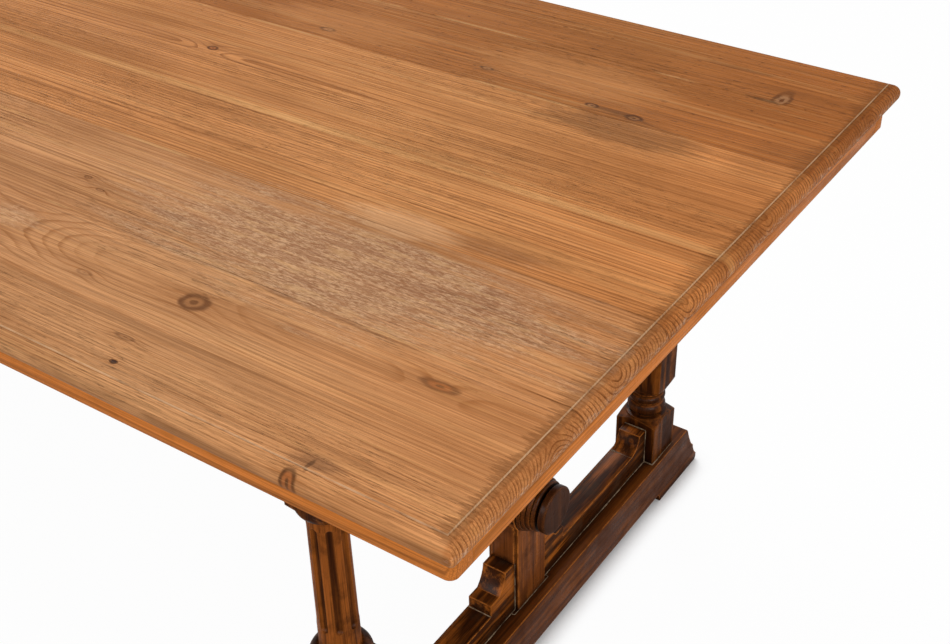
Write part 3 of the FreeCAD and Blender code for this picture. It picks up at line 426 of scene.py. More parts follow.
creep = net.streaky(where, (12.0, 330.0, 330.0), 4, 0.7)
creep_broad = net.streaky(where, (2.0, 16.0, 16.0), 2, 0.5, (1, 8, 3))
creep = net.times(net.ease(creep, 0.35, 0.70), net.ease(creep_broad, 0.30, 0.65, 0.006, 0.028))
stain = net.ease(net.minus(from_end, net.plus(creep, STAIN_EDGE)), 0.0, 0.002, 1.0, 0.0)
color = net.mix(net.times(stain, on_top, 0.44), color, END_STAIN)

for mark_x, mark_y, half_length, half_width, mark_share, mark_color in TOP_MARKS:
    mark = net.group(frayed_mark, Vector=where, Centre=(mark_x * MM, mark_y * MM, TOP_FACE),
                     Half_length=half_length * MM, Half_width=half_width * MM, Fray=0.8)
    color = net.mix(net.times(mark["Mask"], mark_share), color, mark_color)
print(len(TOP_MARKS), "marks on the top")

# %% [markdown]
# ## The torn patch
# On one plank the surface is torn and bleached, with a small swirl of the same to its left. Its rim is an
# oval that a noise has made ragged, and two noises, one fine and one broad, mix bleached fibres with brown
# ones.

# %% A torn and bleached patch
PATCH_PLACE = (0.87, -0.235)
PATCH_REACH = (0.33, 0.100)
SWIRL_PLACE = (0.465, -0.360, TOP_FACE)
TORN_BROWN = (0.34, 0.157, 0.080)
TORN_PALE = (0.84, 0.540, 0.325)
TORN_SHADE = (0.32, 0.146, 0.082)
TORN_GOLD = (0.80, 0.480, 0.230)

patch_x = net.times(net.minus(x, PATCH_PLACE[0]), 1 / PATCH_REACH[0])
patch_y = net.times(net.minus(y, PATCH_PLACE[1]), 1 / PATCH_REACH[1])
patch_far = net.calc("SQRT", net.plus(net.times(patch_x, patch_x), net.times(patch_y, patch_y)))
patch_rag = net.streaky(where, (6.0, 60.0, 60.0), 5, 0.7)
patch_far = net.plus(patch_far, net.calc("MULTIPLY_ADD", patch_rag, 2.2, -1.1))
patch = net.times(net.ease(patch_far, 0.45, 1.25, 1.0, 0.0), on_top)
swirl = net.group(frayed_mark, Vector=where, Centre=SWIRL_PLACE,
                  Half_length=0.060, Half_width=0.022, Fray=1.0)
patch = net.calc("MAXIMUM", patch, net.times(swirl["Mask"], 0.6))
torn = net.streaky(where, (95.0, 420.0, 420.0), 6, 0.8)
torn_color = net.mix(net.ease(torn, 0.42, 0.60), TORN_BROWN, TORN_PALE)
torn_broad = net.streaky(where, (16.0, 110.0, 110.0), 4, 0.6, (3, 3, 7))
torn_color = net.mix(net.ease(torn_broad, 0.50, 0.64, 0.0, 0.60), torn_color, TORN_SHADE)
torn_color = net.mix(net.ease(torn_broad, 0.48, 0.36, 0.0, 0.50), torn_color, TORN_GOLD)
color = net.mix(net.times(patch, 0.60), color, torn_color)
print("the torn patch brings it to", len(aged_top.nodes), "nodes")

# %% [markdown]
# ## Joints and the moulded edge
# The joints hold dirt in some places and are rubbed pale in others, the pale partly a painted highlight on
# their eased edges. The quirk, the small step before the nose, shows as a pale line, partly wear and partly
# a painted highlight. Below the nose a painted shade darkens the underside, and the ends carry pale scuffs.

# %% Joints, quirk and nose, and the end of the group
QUIRK_INSET = 15.0 * MM
JOINT_DIRT = (0.12, 0.045, 0.015)
JOINT_WEAR_AND_HIGHLIGHT = (0.74, 0.42, 0.18)
QUIRK_WEAR_AND_HIGHLIGHT = (0.88, 0.60, 0.36)
END_TINT = (0.86, 0.76, 0.66)
UNDER_NOSE_SHADE = (0.23, 0.088, 0.022)
SCUFF = (0.66, 0.47, 0.33)

to_joint = net.calc("MINIMUM", net.minus(y, start["Low joint"]), net.minus(start["High joint"], y))
dirt_noise = net.streaky(where, (5.0, 7.0, 7.0), 4)
dark_joint = net.ease(to_joint, 0.3 * MM, 1.2 * MM, 1.0, 0.0)
color = net.mix(net.times(dark_joint, net.ease(dirt_noise, 0.45, 0.62, 0.0, 0.5)), color, JOINT_DIRT)
# The pale joint line is partly rubbed wear and partly a painted highlight on the eased edges.
pale_joint_and_highlight = net.ease(to_joint, 1.0 * MM, 3.4 * MM, 1.0, 0.0)
color = net.mix(net.times(pale_joint_and_highlight, net.ease(dirt_noise, 0.48, 0.36, 0.0, 0.45)), color, JOINT_WEAR_AND_HIGHLIGHT)

inset = net.calc("MINIMUM", from_end, from_side)
# The pale quirk line is partly wear and partly a painted highlight on the small step.
quirk = net.calc("ABSOLUTE", net.minus(inset, QUIRK_INSET + 0.1 * MM))
quirk = net.times(net.ease(quirk, 0.1 * MM, 0.6 * MM, 1.0, 0.0), on_top)
quirk_noise = net.streaky(where, (30.0, 30.0, 30.0), 4)
color = net.mix(net.times(quirk, net.ease(quirk_noise, 0.30, 0.55, 0.35, 1.0), 0.52), color, QUIRK_WEAR_AND_HIGHLIGHT)

color = net.mix(net.ease(from_end, 14.0 * MM, 7.0 * MM), color, END_TINT, "MULTIPLY")
# Painted shade on the underside of the nose, darker towards the bottom.
under_nose_shade = net.ease(z, TOP_FACE - 13.0 * MM, TOP_FACE - 27.0 * MM)
color = net.mix(net.times(under_nose_shade, 0.72), color, UNDER_NOSE_SHADE)
scuff_band = net.calc("ABSOLUTE", net.minus(z, TOP_FACE - 19.0 * MM))
scuff_band = net.times(net.ease(scuff_band, 2.0 * MM, 9.0 * MM, 1.0, 0.0), net.ease(from_end, 0.012, 0.004))
scuff = net.streaky(where, (120.0, 120.0, 420.0), 5, 0.75)
color = net.mix(net.times(net.ease(scuff, 0.50, 0.62), scuff_band, 0.45), color, SCUFF)

relief = net.plus(net.times(patch, torn, 2.2), net.times(checks, -0.6))
relief = net.calc("MULTIPLY_ADD", start["Fibre"], 0.5, relief)
rough = net.calc("MULTIPLY_ADD", patch, 0.25, net.ease(broad, 0.3, 0.7, 0.46, 0.60))
finish_group(net, {"Color": color, "Roughness": rough, "Height": relief})

# %% [markdown]
# ## The finish of each plank
# The planks came from different boards, so each gets its own pith, ring spacing, tone and knots. The pith's
# place decides the figure: far from the face the lines are straight and close, just below it they arch.


# %% Make a pine finish
def new_material(name):
    """A material with its net, its Principled BSDF, and Object coordinates."""
    material = bpy.data.materials.new(name)
    material.use_nodes = True
    tree = material.node_tree
    tree.nodes.clear()
    shader = tree.nodes.new("ShaderNodeBsdfPrincipled")
    output = tree.nodes.new("ShaderNodeOutputMaterial")
    tree.links.new(shader.outputs[0], output.inputs[0])
    net = Net(tree)
    return material, net, shader, net.put("ShaderNodeTexCoord")["Object"]


def fibre_shade(net, color, fibre, darkest, palest):
    """A colour made darker and paler by the fibres."""
    level = net.ease(fibre, 0.30, 0.70, darkest, palest)
    grey = net.put("ShaderNodeCombineColor", {0: level, 1: level, 2: level})[0]
    return net.mix(1.0, color, grey, "MULTIPLY")


KNOT_RIM = (0.070, 0.024, 0.010)
KNOT_HALO = (0.26, 0.094, 0.026)
END_GRAIN_LINE = (0.13, 0.042, 0.011)
END_GRAIN_GROUND = (0.72, 0.36, 0.145)


def pine_plank(number, pith, spacing, wander, contrast, early, late, joints, knots):
    """The finish of one plank of the top."""
    material, net, shader, where = new_material(f"pine_plank_{number}")
    bend = 0.0
    eyes = []
    for knot_x, knot_y, knot_radius, stretch, push, depth, core in knots:
        eye = net.group(knot_eye, Vector=where, Centre=(knot_x * MM, knot_y * MM, 0),
                        Radius=knot_radius * MM, Stretch=stretch, Push=push)
        bend = net.plus(bend, eye["Bend"])
        eyes.append((eye, depth, core))
    rings = net.group(growth_rings, Vector=where, Pith=(0, pith[0] * MM, pith[1] * MM),
                      Spacing=spacing * MM, Wander=wander * MM, Bend=bend, Seed=number * 3.7)
    facing = net.parts(net.put("ShaderNodeNewGeometry")["Normal"])
    end_grain = net.ease(net.calc("ABSOLUTE", facing[0]), 0.35, 0.75)
    strength = net.ease(rings["Ring"], 0.0, 1.0, 0.28 * contrast, 0.95 * contrast)
    for eye, depth, core in eyes:
        strength = net.plus(strength, net.times(eye["Halo"], 0.35))
    strength = net.calc("ADD", strength, net.times(end_grain, 0.6), clamp=True)
    line = net.mix(net.times(end_grain, 0.6), late, END_GRAIN_LINE)
    ground = net.mix(net.times(end_grain, 0.3), early, END_GRAIN_GROUND)
    color = net.mix(net.times(rings["Late"], strength), ground, line)
    color = net.mix(net.times(rings["Hair"], net.minus(1.0, end_grain), 0.45), color, late)
    color = fibre_shade(net, color, rings["Fibre"], 0.68, 1.24)
    for eye, depth, core in eyes:
        color = net.mix(net.times(eye["Halo"], 0.22 * depth), color, KNOT_HALO)
        color = net.mix(net.times(eye["Inside"], depth), color, net.mix(eye["Rim"], core, KNOT_RIM))
    aged = net.group(aged_top, Vector=where, Color=color, Low_joint=joints[0] * MM,
                     High_joint=joints[1] * MM, Fibre=rings["Fibre"])
    height = net.calc("MULTIPLY_ADD", rings["Late"], 0.35, aged["Height"])
    net.fill(shader, {
        "Base Color": aged["Color"], "Roughness": aged["Roughness"], "Specular IOR Level": 0.03,
        "Normal": net.bump(height, 0.0010),
    })
    return material


print("a pine finish joins", [group.name for group in (growth_rings, knot_eye, aged_top)])

# %% [markdown]
# ## Six boards
# The list gives each plank's figure. A knot has its place along and across the table, radius, stretch along
# the grain, push on the rings, depth of colour, and the colour of its heart.

# %% The figure of each plank
PLANK_JOINTS = (-533.2, -313.0, -143.0, -2.0, 231.0, 385.0, 533.2)
HONEY = (0.590, 0.285, 0.120)
AMBER = (0.60, 0.255, 0.086)
TAWNY = (0.38, 0.136, 0.035)
RUSSET_LINE = (0.30, 0.108, 0.028)
BROWN_LINE = (0.22, 0.078, 0.020)
RED_KNOT = (0.36, 0.115, 0.034)
BROWN_KNOT = (0.34, 0.150, 0.058)
PALE_KNOT = (0.66, 0.43, 0.240)
SPIKE_KNOT = (0.33, 0.185, 0.095)
NAIL_HOLE = (0.020, 0.018, 0.020)

PLANK_FIGURES = (
    dict(pith=(-362, 730), spacing=4.4, wander=28, contrast=0.42, early=HONEY, late=RUSSET_LINE,
         knots=((773, -377, 16, 1.25, 2.2, 0.9, BROWN_KNOT), (455, -364, 26, 2.2, 7.0, 0.10, PALE_KNOT),
                (1078, -354, 8, 3.0, 1.4, 0.65, RED_KNOT), (778, -499, 3.4, 1.7, 0.5, 1.0, NAIL_HOLE),
                (1034, -533, 10, 1.0, 1.5, 0.85, RED_KNOT), (629, -400, 5, 2.5, 1.0, 0.35, BROWN_KNOT),
                (757, -463, 4, 4.0, 0.8, 0.5, BROWN_KNOT), (-640, -425, 12, 1.4, 2.0, 0.85, BROWN_KNOT))),
    dict(pith=(-238, 766), spacing=5.8, wander=22, contrast=0.70, early=HONEY, late=RUSSET_LINE,
         knots=((470, -247, 4, 1.8, 1.5, 0.7, BROWN_KNOT), (507, -262, 3, 2.6, 1.0, 0.6, BROWN_KNOT),
                (-860, -214, 9, 1.5, 1.8, 0.80, RED_KNOT))),
    dict(pith=(-90, 764), spacing=5.8, wander=18, contrast=1.0, early=AMBER, late=RUSSET_LINE,
         knots=((-330, -74, 10, 1.6, 2.0, 0.85, BROWN_KNOT),)),
    dict(pith=(110, 768), spacing=5.6, wander=24, contrast=1.0, early=AMBER, late=RUSSET_LINE,
         knots=((337, 119, 7, 1.4, 2.0, 0.9, RED_KNOT), (-945, 150, 13, 1.3, 2.2, 0.85, BROWN_KNOT))),
    dict(pith=(304, 752), spacing=5.8, wander=20, contrast=0.85, early=TAWNY, late=BROWN_LINE,
         knots=((714, 272, 5, 2.5, 1.5, 0.9, BROWN_KNOT), (437, 260, 7, 2.0, 2.0, 0.9, BROWN_KNOT),
                (962, 247, 8, 1.8, 1.5, 0.9, BROWN_KNOT), (897, 250, 6, 1.8, 1.0, 0.9, BROWN_KNOT),
                (-210, 315, 7, 1.8, 1.8, 0.75, RED_KNOT))),
    dict(pith=(424, 745), spacing=5.8, wander=22, contrast=0.85, early=TAWNY, late=BROWN_LINE,
         knots=((1103, 396, 32, 0.40, 1.2, 0.95, SPIKE_KNOT), (-700, 462, 11, 1.4, 2.0, 0.80, BROWN_KNOT))),
)
plank_finishes = []
for number, figure in enumerate(PLANK_FIGURES, start=1):
    joints = PLANK_JOINTS[number - 1:number + 1]
    plank_finishes.append(pine_plank(number, joints=joints, **figure))
print("plank finishes:", [finish.name for finish in plank_finishes])

# %% [markdown]
# ## The planks
# Each plank is a fine grid of its upper face with the moulded edge run on at the ends, and on the outer
# planks along the side too, mitred at the corners. A grid can be worn: its rows drop a little at the
# joints, which leaves the small groove that shows there. The profile goes outwards from the face: a quirk,
# a round nose, a short flat and a smaller round below.

# %% The moulding as a list of steps
NOSE_ROUND = 14.0
NOSE_CENTRE = 745.5
UNDER_ROUND = 11.0
UNDER_CENTRE = 744.0
QUIRK_STEPS = [(16.4, 762.0), (15.5, 761.75), (15.1, 761.2), (15.0, 760.2), (14.5, 759.6)]


def arc_steps(radius, centre, first, step, count):
    """Pairs of inset and height round an arc that starts at the first angle, in degrees."""
    angles = [math.radians(first - step * index) for index in range(count)]
    return [(radius - radius * math.cos(angle), centre + radius * math.sin(angle)) for angle in angles]


MOULDING = (QUIRK_STEPS + arc_steps(NOSE_ROUND, NOSE_CENTRE, 90, 9, 11)
            + arc_steps(UNDER_ROUND, UNDER_CENTRE, 0, 11.25, 9))
print("the moulding has", len(MOULDING), "steps")

# %% [markdown]
# ## Rows and corners
# The rows of the grid stand closer at a joint, where the face eases down. At the table's corners the
# moulding turns in three steps up to the mitre, on a radius that grows towards the outside.

# %% Rows of a plank and places on a corner
GRID_STEP = 4.0
JOINT_EASE = ((0.06, 0.35), (0.35, 0.15), (0.9, 0.03), (2.4, 0.0))
OPEN_EDGE = ((0.0, 0.0), (4.0, 0.0))
CORNER_ROUND = 5.0
CORNER_TURNS = (15, 30, 45)
HALF_LENGTH = TOP_LENGTH / MM / 2
HALF_WIDTH = TOP_WIDTH / MM / 2
FACE_INSET = MOULDING[0][0]
JOINT_DROP_STEPS = 10


def spread(low, high):
    """Even places from low to high, about a grid step apart."""
    return list(numpy.linspace(low, high, max(2, round((high - low) / GRID_STEP) + 1)))


def joint_rows(low, high, low_joint, high_joint):
    """Rows across a plank, with the drop of each, easing down into a joint."""
    first = [(low + across, drop) for across, drop in (JOINT_EASE if low_joint else OPEN_EDGE)]
    last = [(high - across, drop) for across, drop in (JOINT_EASE if high_joint else OPEN_EDGE)]
    middle = [(place, 0.0) for place in spread(first[-1][0], last[-1][0])]
    return first[:-1] + middle + last[:-1][::-1]


def corner_place(end, side, step, degrees, along_end):
    """A place on the rounded corner of one step of the moulding."""
    inset, height = MOULDING[step]
    rounding = CORNER_ROUND * (1 - min(1, inset / FACE_INSET))
    swing = math.radians(degrees if along_end else 90 - degrees)
    px = end * (HALF_LENGTH - inset - rounding + rounding * math.cos(swing))
    py = side * (HALF_WIDTH - inset - rounding + rounding * math.sin(swing))
    return px, py, height


print("rows of the first plank:", len(joint_rows(PLANK_JOINTS[0], PLANK_JOINTS[1], False, True)))


# %% [markdown]
# ## One plank as a closed skin
# The skin is laid line by line: the face first, then the moulding step by step round the ends and the open
# sides. A vertex has a key, so that two runs that meet at a mitre share it.

# %% Build one plank
class PlankSkin:
    """The surface of one plank; ends and sides are -1 for left or front and 1 for right or back."""

    def __init__(self, number):
        low, high = PLANK_JOINTS[number - 1:number + 1]
        self.joined = {-1: number > 1, 1: number < len(PLANK_FIGURES)}
        if not self.joined[-1]:
            low += FACE_INSET
        if not self.joined[1]:
            high -= FACE_INSET
        self.rows = joint_rows(low, high, self.joined[-1], self.joined[1])
        self.columns = spread(-HALF_LENGTH + FACE_INSET, HALF_LENGTH - FACE_INSET)
        self.open_sides = [side for side in (-1, 1) if not self.joined[side]]
        self.edge_row = {-1: 0, 1: len(self.rows) - 1}
        self.edge_column = {-1: 0, 1: len(self.columns) - 1}
        self.shape = bmesh.new()
        self.made = {}

    def vertex(self, key, place):
        """A vertex made once for each key, at a place in millimetres."""
        if key not in self.made:
            self.made[key] = self.shape.verts.new([part * MM for part in place])
        return self.made[key]

    def skin(self, lines):
        """Faces between neighbouring lines of vertices."""
        for line, following in zip(lines, lines[1:]):
            for index in range(len(line) - 1):
                ring = (line[index], line[index + 1], following[index + 1], following[index])
                corners = list(dict.fromkeys(ring))
                if len(corners) > 2:
                    self.shape.faces.new(corners)

    def lay_face(self):
        """The upper face."""
        lines = []
        for row, (py, drop) in enumerate(self.rows):
            places = [(px, py, TOP_FACE / MM - drop) for px in self.columns]
            lines.append([self.vertex((column, row), place) for column, place in enumerate(places)])
        self.skin(lines)

    def bend(self, end, side, step, along_end):
        """The vertices round a corner, up to the mitre that both runs share."""
        line = []
        for degrees in CORNER_TURNS:
            owner = along_end or degrees == CORNER_TURNS[-1]
            place = corner_place(end, side, step, degrees, along_end)
            line.append(self.vertex(("turn", end, side, step, degrees, owner), place))
        return line

    def row_along(self, row):
        """The face's vertices in one row."""
        return [self.made[(column, row)] for column in range(len(self.columns))]

    def mould_end(self, end):
        """The moulding along one end; gives back its lines."""
        line = [self.made[(self.edge_column[end], row)] for row in range(len(self.rows))]
        before = [line[0]] * len(CORNER_TURNS) if -1 in self.open_sides else []
        after = [line[-1]] * len(CORNER_TURNS) if 1 in self.open_sides else []
        lines = [before + line + after]
        at_corner = {self.edge_row[side]: side for side in self.open_sides}
        for step in range(1, len(MOULDING)):
            inset, height = MOULDING[step]
            line = []
            for row, (py, drop) in enumerate(self.rows):
                place = (end * (HALF_LENGTH - inset), py, height - (drop if step < JOINT_DROP_STEPS else 0))
                if row in at_corner:
                    place = corner_place(end, at_corner[row], step, 0, True)
                line.append(self.vertex(("end", end, step, row), place))
            for side in self.open_sides:
                bend = self.bend(end, side, step, True)
                line = bend[::-1] + line if side < 0 else line + bend
            lines.append(line)
        self.skin(lines)
        return lines

    def mould_side(self, side):
        """The moulding along one open side."""
        line = self.row_along(self.edge_row[side])
        lines = [[line[0]] * len(CORNER_TURNS) + line + [line[-1]] * len(CORNER_TURNS)]
        at_corner = {self.edge_column[end]: end for end in (-1, 1)}
        for step in range(1, len(MOULDING)):
            inset, height = MOULDING[step]
            line = []
            for column, px in enumerate(self.columns):
                place = (px, side * (HALF_WIDTH - inset), height)
                if column in at_corner:
                    place = corner_place(at_corner[column], side, step, 0, False)
                line.append(self.vertex(("side", side, step, column), place))
            lines.append(self.bend(-1, side, step, False)[::-1] + line + self.bend(1, side, step, False))
        self.skin(lines)

    def build(self, name):
        """The closed plank as an object."""
        self.lay_face()
        end_lines = {end: self.mould_end(end) for end in (-1, 1)}
        for side in self.open_sides:
            self.mould_side(side)
        for side, joined in self.joined.items():
            if joined:
                last = 0 if side < 0 else -1
                left = [line[last] for line in end_lines[-1]]
                right = [line[last] for line in end_lines[1]]
                self.shape.faces.new(left[:0:-1] + self.row_along(self.edge_row[side]) + right[1:])
        rim = [edge for edge in self.shape.edges if edge.is_boundary]
        bmesh.ops.holes_fill(self.shape, edges=rim, sides=0)
        bmesh.ops.recalc_face_normals(self.shape, faces=self.shape.faces)
        return finished_object(name, self.shape, 50)


def finished_object(name, shape, sharp_angle):
    """An object from a bmesh, shaded smooth up to an angle in degrees."""
    mesh = bpy.data.meshes.new(name)
    shape.to_mesh(mesh)
    shape.free()
    mesh.materials.clear()
    mesh.shade_smooth()
    mesh.set_sharp_from_angle(angle=math.radians(sharp_angle))
    piece = bpy.data.objects.new(name, mesh)
    bpy.context.scene.collection.objects.link(piece)
    return piece


flat_planks = []
for number, finish in enumerate(plank_finishes, start=1):
    plank = PlankSkin(number).build(f"flat_plank_{number}")
    plank.data.materials.append(finish)
    flat_planks.append(plank)
print("flat planks:", [len(plank.data.polygons) for plank in flat_planks], "faces")

# %% [markdown]
# ## Trees that shape things
# Two Geometry Nodes trees follow: one wears the planks, one sweeps wax along corners. Both take named
# inputs, end by realising instances and setting the material, and run once, after which only a plain mesh
# is left.


# %% Helpers for Geometry Nodes
def new_tool(name, inputs):
    """A Geometry Nodes tree with named inputs, its net, and its input sockets."""
    tree = bpy.data.node_groups.new(name, "GeometryNodeTree")
    for label, kind in inputs.items():
        tree.interface.new_socket(label, in_out="INPUT", socket_type="NodeSocket" + kind)
    tree.interface.new_socket("Result", in_out="OUTPUT", socket_type="NodeSocketGeometry")
    net = Net(tree)
    return tree, net, net.put("NodeGroupInput")


def finish_tool(net, start, body):
    """Realise instances, set the material and end the tree."""
    body = net.put("GeometryNodeRealizeInstances", {"Geometry": body})[0]
    body = net.put("GeometryNodeSetMaterial", {"Geometry": body, "Material": start["Finish"]})[0]
    net.fill(net.tree.nodes.new("NodeGroupOutput"), {0: body})
    print(net.tree.name, "has", len(net.tree.nodes), "nodes")


def run_tool(source, tree, name, **inputs):
    """The plain mesh that a tree makes of an object, as a new object; the source is removed."""
    tool = source.modifiers.new(tree.name, "NODES")
    tool.node_group = tree
    for socket in tree.interface.items_tree:
        if socket.name in inputs:
            tool[socket.identifier] = inputs[socket.name]
    shown = source.evaluated_get(bpy.context.evaluated_depsgraph_get())
    mesh = bpy.data.meshes.new_from_object(shown)
    mesh.name = name
    bpy.data.objects.remove(source)
    piece = bpy.data.objects.new(name, mesh)
    bpy.context.scene.collection.objects.link(piece)
    return piece


print("tools start with new_tool, end with finish_tool and run with run_tool")

# %% [markdown]
# ## Weather on the planks' faces
# A scrubbed top isn't flat: soft wood wears lower than the knots, the bleached patch is torn, and there are
# dents at the old nail, the split by the front edge and the bark pocket. Geometry Nodes push the grid down
# by those amounts. Only points on the upper face move, and only downwards, so the planks keep their
# outline.

# %% A tree that wears a plank's face
# Each dent: middle along and across the table, half length, half width and depth, in millimetres.
DENTS = (
    (1103, 396, 8, 27, 1.0), (1046, -506, 24, 11, 1.1), (778, -499, 7, 5, 1.6),
    (962, 247, 14, 7, 1.0), (773, -377, 15, 12, 0.5), (470, -247, 9, 6, 0.7),
)
weathered_face, net, start = new_tool("weathered_face", {
    "Plank": "Geometry", "Hollow": "Float", "Tear": "Float", "Seed": "Float", "Finish": "Material",
})
where = net.put("GeometryNodeInputPosition")[0]
_, _, z, from_end, from_side = edge_distances(net, where)
on_face = net.times(net.ease(net.calc("MINIMUM", from_end, from_side), 0.0165, 0.0240),
                    net.ease(z, TOP_FACE - 1.5 * MM, TOP_FACE - 1.0 * MM))


def face_noise(net, start, where, factors, detail):
    """Noise on the face that depends on the tree's seed."""
    place = net.vector("MULTIPLY_ADD", where, factors, (0, 0, 0))
    inputs = {"Vector": place, "W": start["Seed"], "Scale": 1.0, "Detail": detail}
    return net.put("ShaderNodeTexNoise", inputs, noise_dimensions="4D")["Fac"]


def oval(net, where, centre_x, centre_y, half_length, half_width):
    """One at the middle of an oval, nought at its rim."""
    place = net.vector("SUBTRACT", where, (centre_x * MM, centre_y * MM, TOP_FACE))
    place = net.vector("MULTIPLY", place, (1 / half_length / MM, 1 / half_width / MM, 0))
    return net.ease(net.vector("LENGTH", place), 0.3, 1.0, 1.0, 0.0)


hollows = net.ease(face_noise(net, start, where, (2.5, 20.0, 2.5), 3), 0.35, 0.70)
tears = net.ease(face_noise(net, start, where, (30.0, 110.0, 30.0), 3), 0.40, 0.62)
flakes = net.ease(face_noise(net, start, where, (45.0, 90.0, 45.0), 2), 0.45, 0.60)
drop = net.times(hollows, start["Hollow"])
drop = net.plus(drop, net.times(oval(net, where, 900, -235, 380, 115), tears, start["Tear"]))
drop = net.plus(drop, net.times(oval(net, where, 470, -350, 90, 45), flakes, start["Tear"]))
for dent_x, dent_y, half_length, half_width, depth in DENTS:
    dent = net.times(oval(net, where, dent_x, dent_y, half_length, half_width), depth * MM)
    drop = net.calc("MAXIMUM", drop, dent)
sink = net.join(z=net.times(drop, on_face, -1.0))
worn_plank = net.put("GeometryNodeSetPosition", {"Geometry": start["Plank"], "Offset": sink})[0]
finish_tool(net, start, worn_plank)

# %% [markdown]
# ## Lay the planks
# Each flat plank goes through the tree with its own seed, and the worn one takes the place of its CAD node.

# %% Wear the planks and put them on the table
for number, finish in enumerate(plank_finishes, start=1):
    plank = run_tool(flat_planks[number - 1], weathered_face, f"worn_plank_{number}",
                     Hollow=0.5 * MM, Tear=0.7 * MM, Seed=float(number), Finish=finish)
    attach(plank, "root")
    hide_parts(f"top_plank_{number}")
    print(plank.name, len(plank.data.polygons), "faces")

# %% [markdown]
# ## Stained wood of the base
# The trestles are old wood under a dark stain. The rings show as nearly black lines, streaks of amber run
# along the grain where the stain is thin, and amber shows again where hands and feet have worn the arrises,
# partly as a painted highlight on those proud edges, while a painted shade darkens the crevices. A Mapping
# node turns the grain along each piece. On the columns the ridges between the flutes are painted paler, a
# painted highlight beside the darker flutes.

# %% Make a stained finish
COLUMN_X = 0.9384
COLUMN_Y = 0.385
WARM_STAIN = (0.047, 0.0122, 0.0027)
FOOT_STAIN = (0.088, 0.0230, 0.0044)
POST_STAIN = (0.175, 0.049, 0.011)
CAP_STAIN = (0.050, 0.0145, 0.0044)
APRON_STAIN = (0.60, 0.190, 0.038)
APRON_LINE = (0.17, 0.055, 0.013)
AMBER_STAIN = (0.46, 0.130, 0.017)
RIDGE_HIGHLIGHT = (0.33, 0.092, 0.016)
WORN_AND_HIGHLIGHT_AMBER = (0.54, 0.168, 0.028)
INKY_LINE = (0.016, 0.0050, 0.0020)
DARK_GRIME = (0.018, 0.0060, 0.0026)
GREY_GRIME = (0.060, 0.030, 0.016)
PAINTED_CREVICE_SHADE = (0.006, 0.0026, 0.0014)
GRAIN_TURNS = {"x": (0, 0, 0), "y": (0, 0, -math.pi / 2), "z": (0, math.pi / 2, 0)}


def along_grain(net, where, grain):
    """Coordinates turned so that the grain, along the named axis, runs along X."""
    return net.put("ShaderNodeMapping", {"Vector": where, "Rotation": GRAIN_TURNS[grain]})[0]


def flute_ridges(net, where):
    """Mask of the ridges between the flutes, by the distance from the middle of the nearest column."""
    across, along, _ = net.parts(where)
    off_x = net.minus(net.calc("ABSOLUTE", across), COLUMN_X)
    off_y = net.minus(net.calc("ABSOLUTE", along), COLUMN_Y)
    distance = net.vector("LENGTH", net.join(off_x, off_y))
    return net.times(net.ease(distance, 0.0205, 0.0242), net.ease(distance, 0.0262, 0.0280, 1.0, 0.0))


def stained_wood(name, grain, pith, spacing, ground, line=INKY_LINE, stripe=0.8, streaks=0.4, wear_and_highlight=1.0,
                 dirt=0.6, dirt_color=DARK_GRIME, ridge_highlight_share=0.0, wander=10):
    """A stained finish; grain is the axis that the fibres follow, line the colour of the late rings."""
    material, net, shader, where = new_material("stained_" + name)
    along = along_grain(net, where, grain)
    rings = net.group(growth_rings, Vector=along, Pith=(0, pith[0] * MM, pith[1] * MM),
                      Spacing=spacing * MM, Wander=wander * MM)
    arris = net.group(worn_and_lit_arris, Vector=where, Width=0.004, Amount=wear_and_highlight)
    strength = net.times(net.ease(rings["Ring"], 0.0, 1.0, 0.3, 1.0), stripe)
    if ridge_highlight_share:
        # The ridges between the flutes are painted paler: a painted highlight beside the darker flutes.
        ground = net.mix(net.times(flute_ridges(net, where), ridge_highlight_share), ground, RIDGE_HIGHLIGHT)
    color = net.mix(net.times(rings["Late"], strength), ground, line)
    color = net.mix(net.times(rings["Hair"], 0.6 * stripe), color, line)
    streak = net.streaky(along, (5.0, 60.0, 60.0), 4, 0.6)
    color = net.mix(net.ease(streak, 0.45, 0.70, 0.0, streaks), color, AMBER_STAIN)
    grime = net.speckle(where, 22.0, 5, 0.65)
    color = net.mix(net.ease(grime, 0.48, 0.68, 0.0, dirt), color, dirt_color)
    color = fibre_shade(net, color, rings["Fibre"], 0.70, 1.22)
    # Amber on the worn arrises, partly wear and partly a painted highlight.
    color = net.mix(net.times(arris["Worn and lit"], 0.92), color, WORN_AND_HIGHLIGHT_AMBER)
    # Painted shade: near black where the ambient-occlusion reading finds a crevice.
    color = net.mix(net.times(arris["Crevice shade"], 0.88), color, PAINTED_CREVICE_SHADE)
    upward = net.parts(net.put("ShaderNodeNewGeometry")["Normal"])[2]
    net.fill(shader, {
        "Base Color": color, "Roughness": net.ease(grime, 0.3, 0.7, 0.22, 0.44), "Specular IOR Level": 0.01,
        "Coat Weight": net.ease(upward, 0.05, 0.70, 0.0, 0.22), "Coat Roughness": 0.28,
        "Normal": net.bump(rings["Fibre"], 0.0003, Normal=arris["Normal"]),
    })
    return material


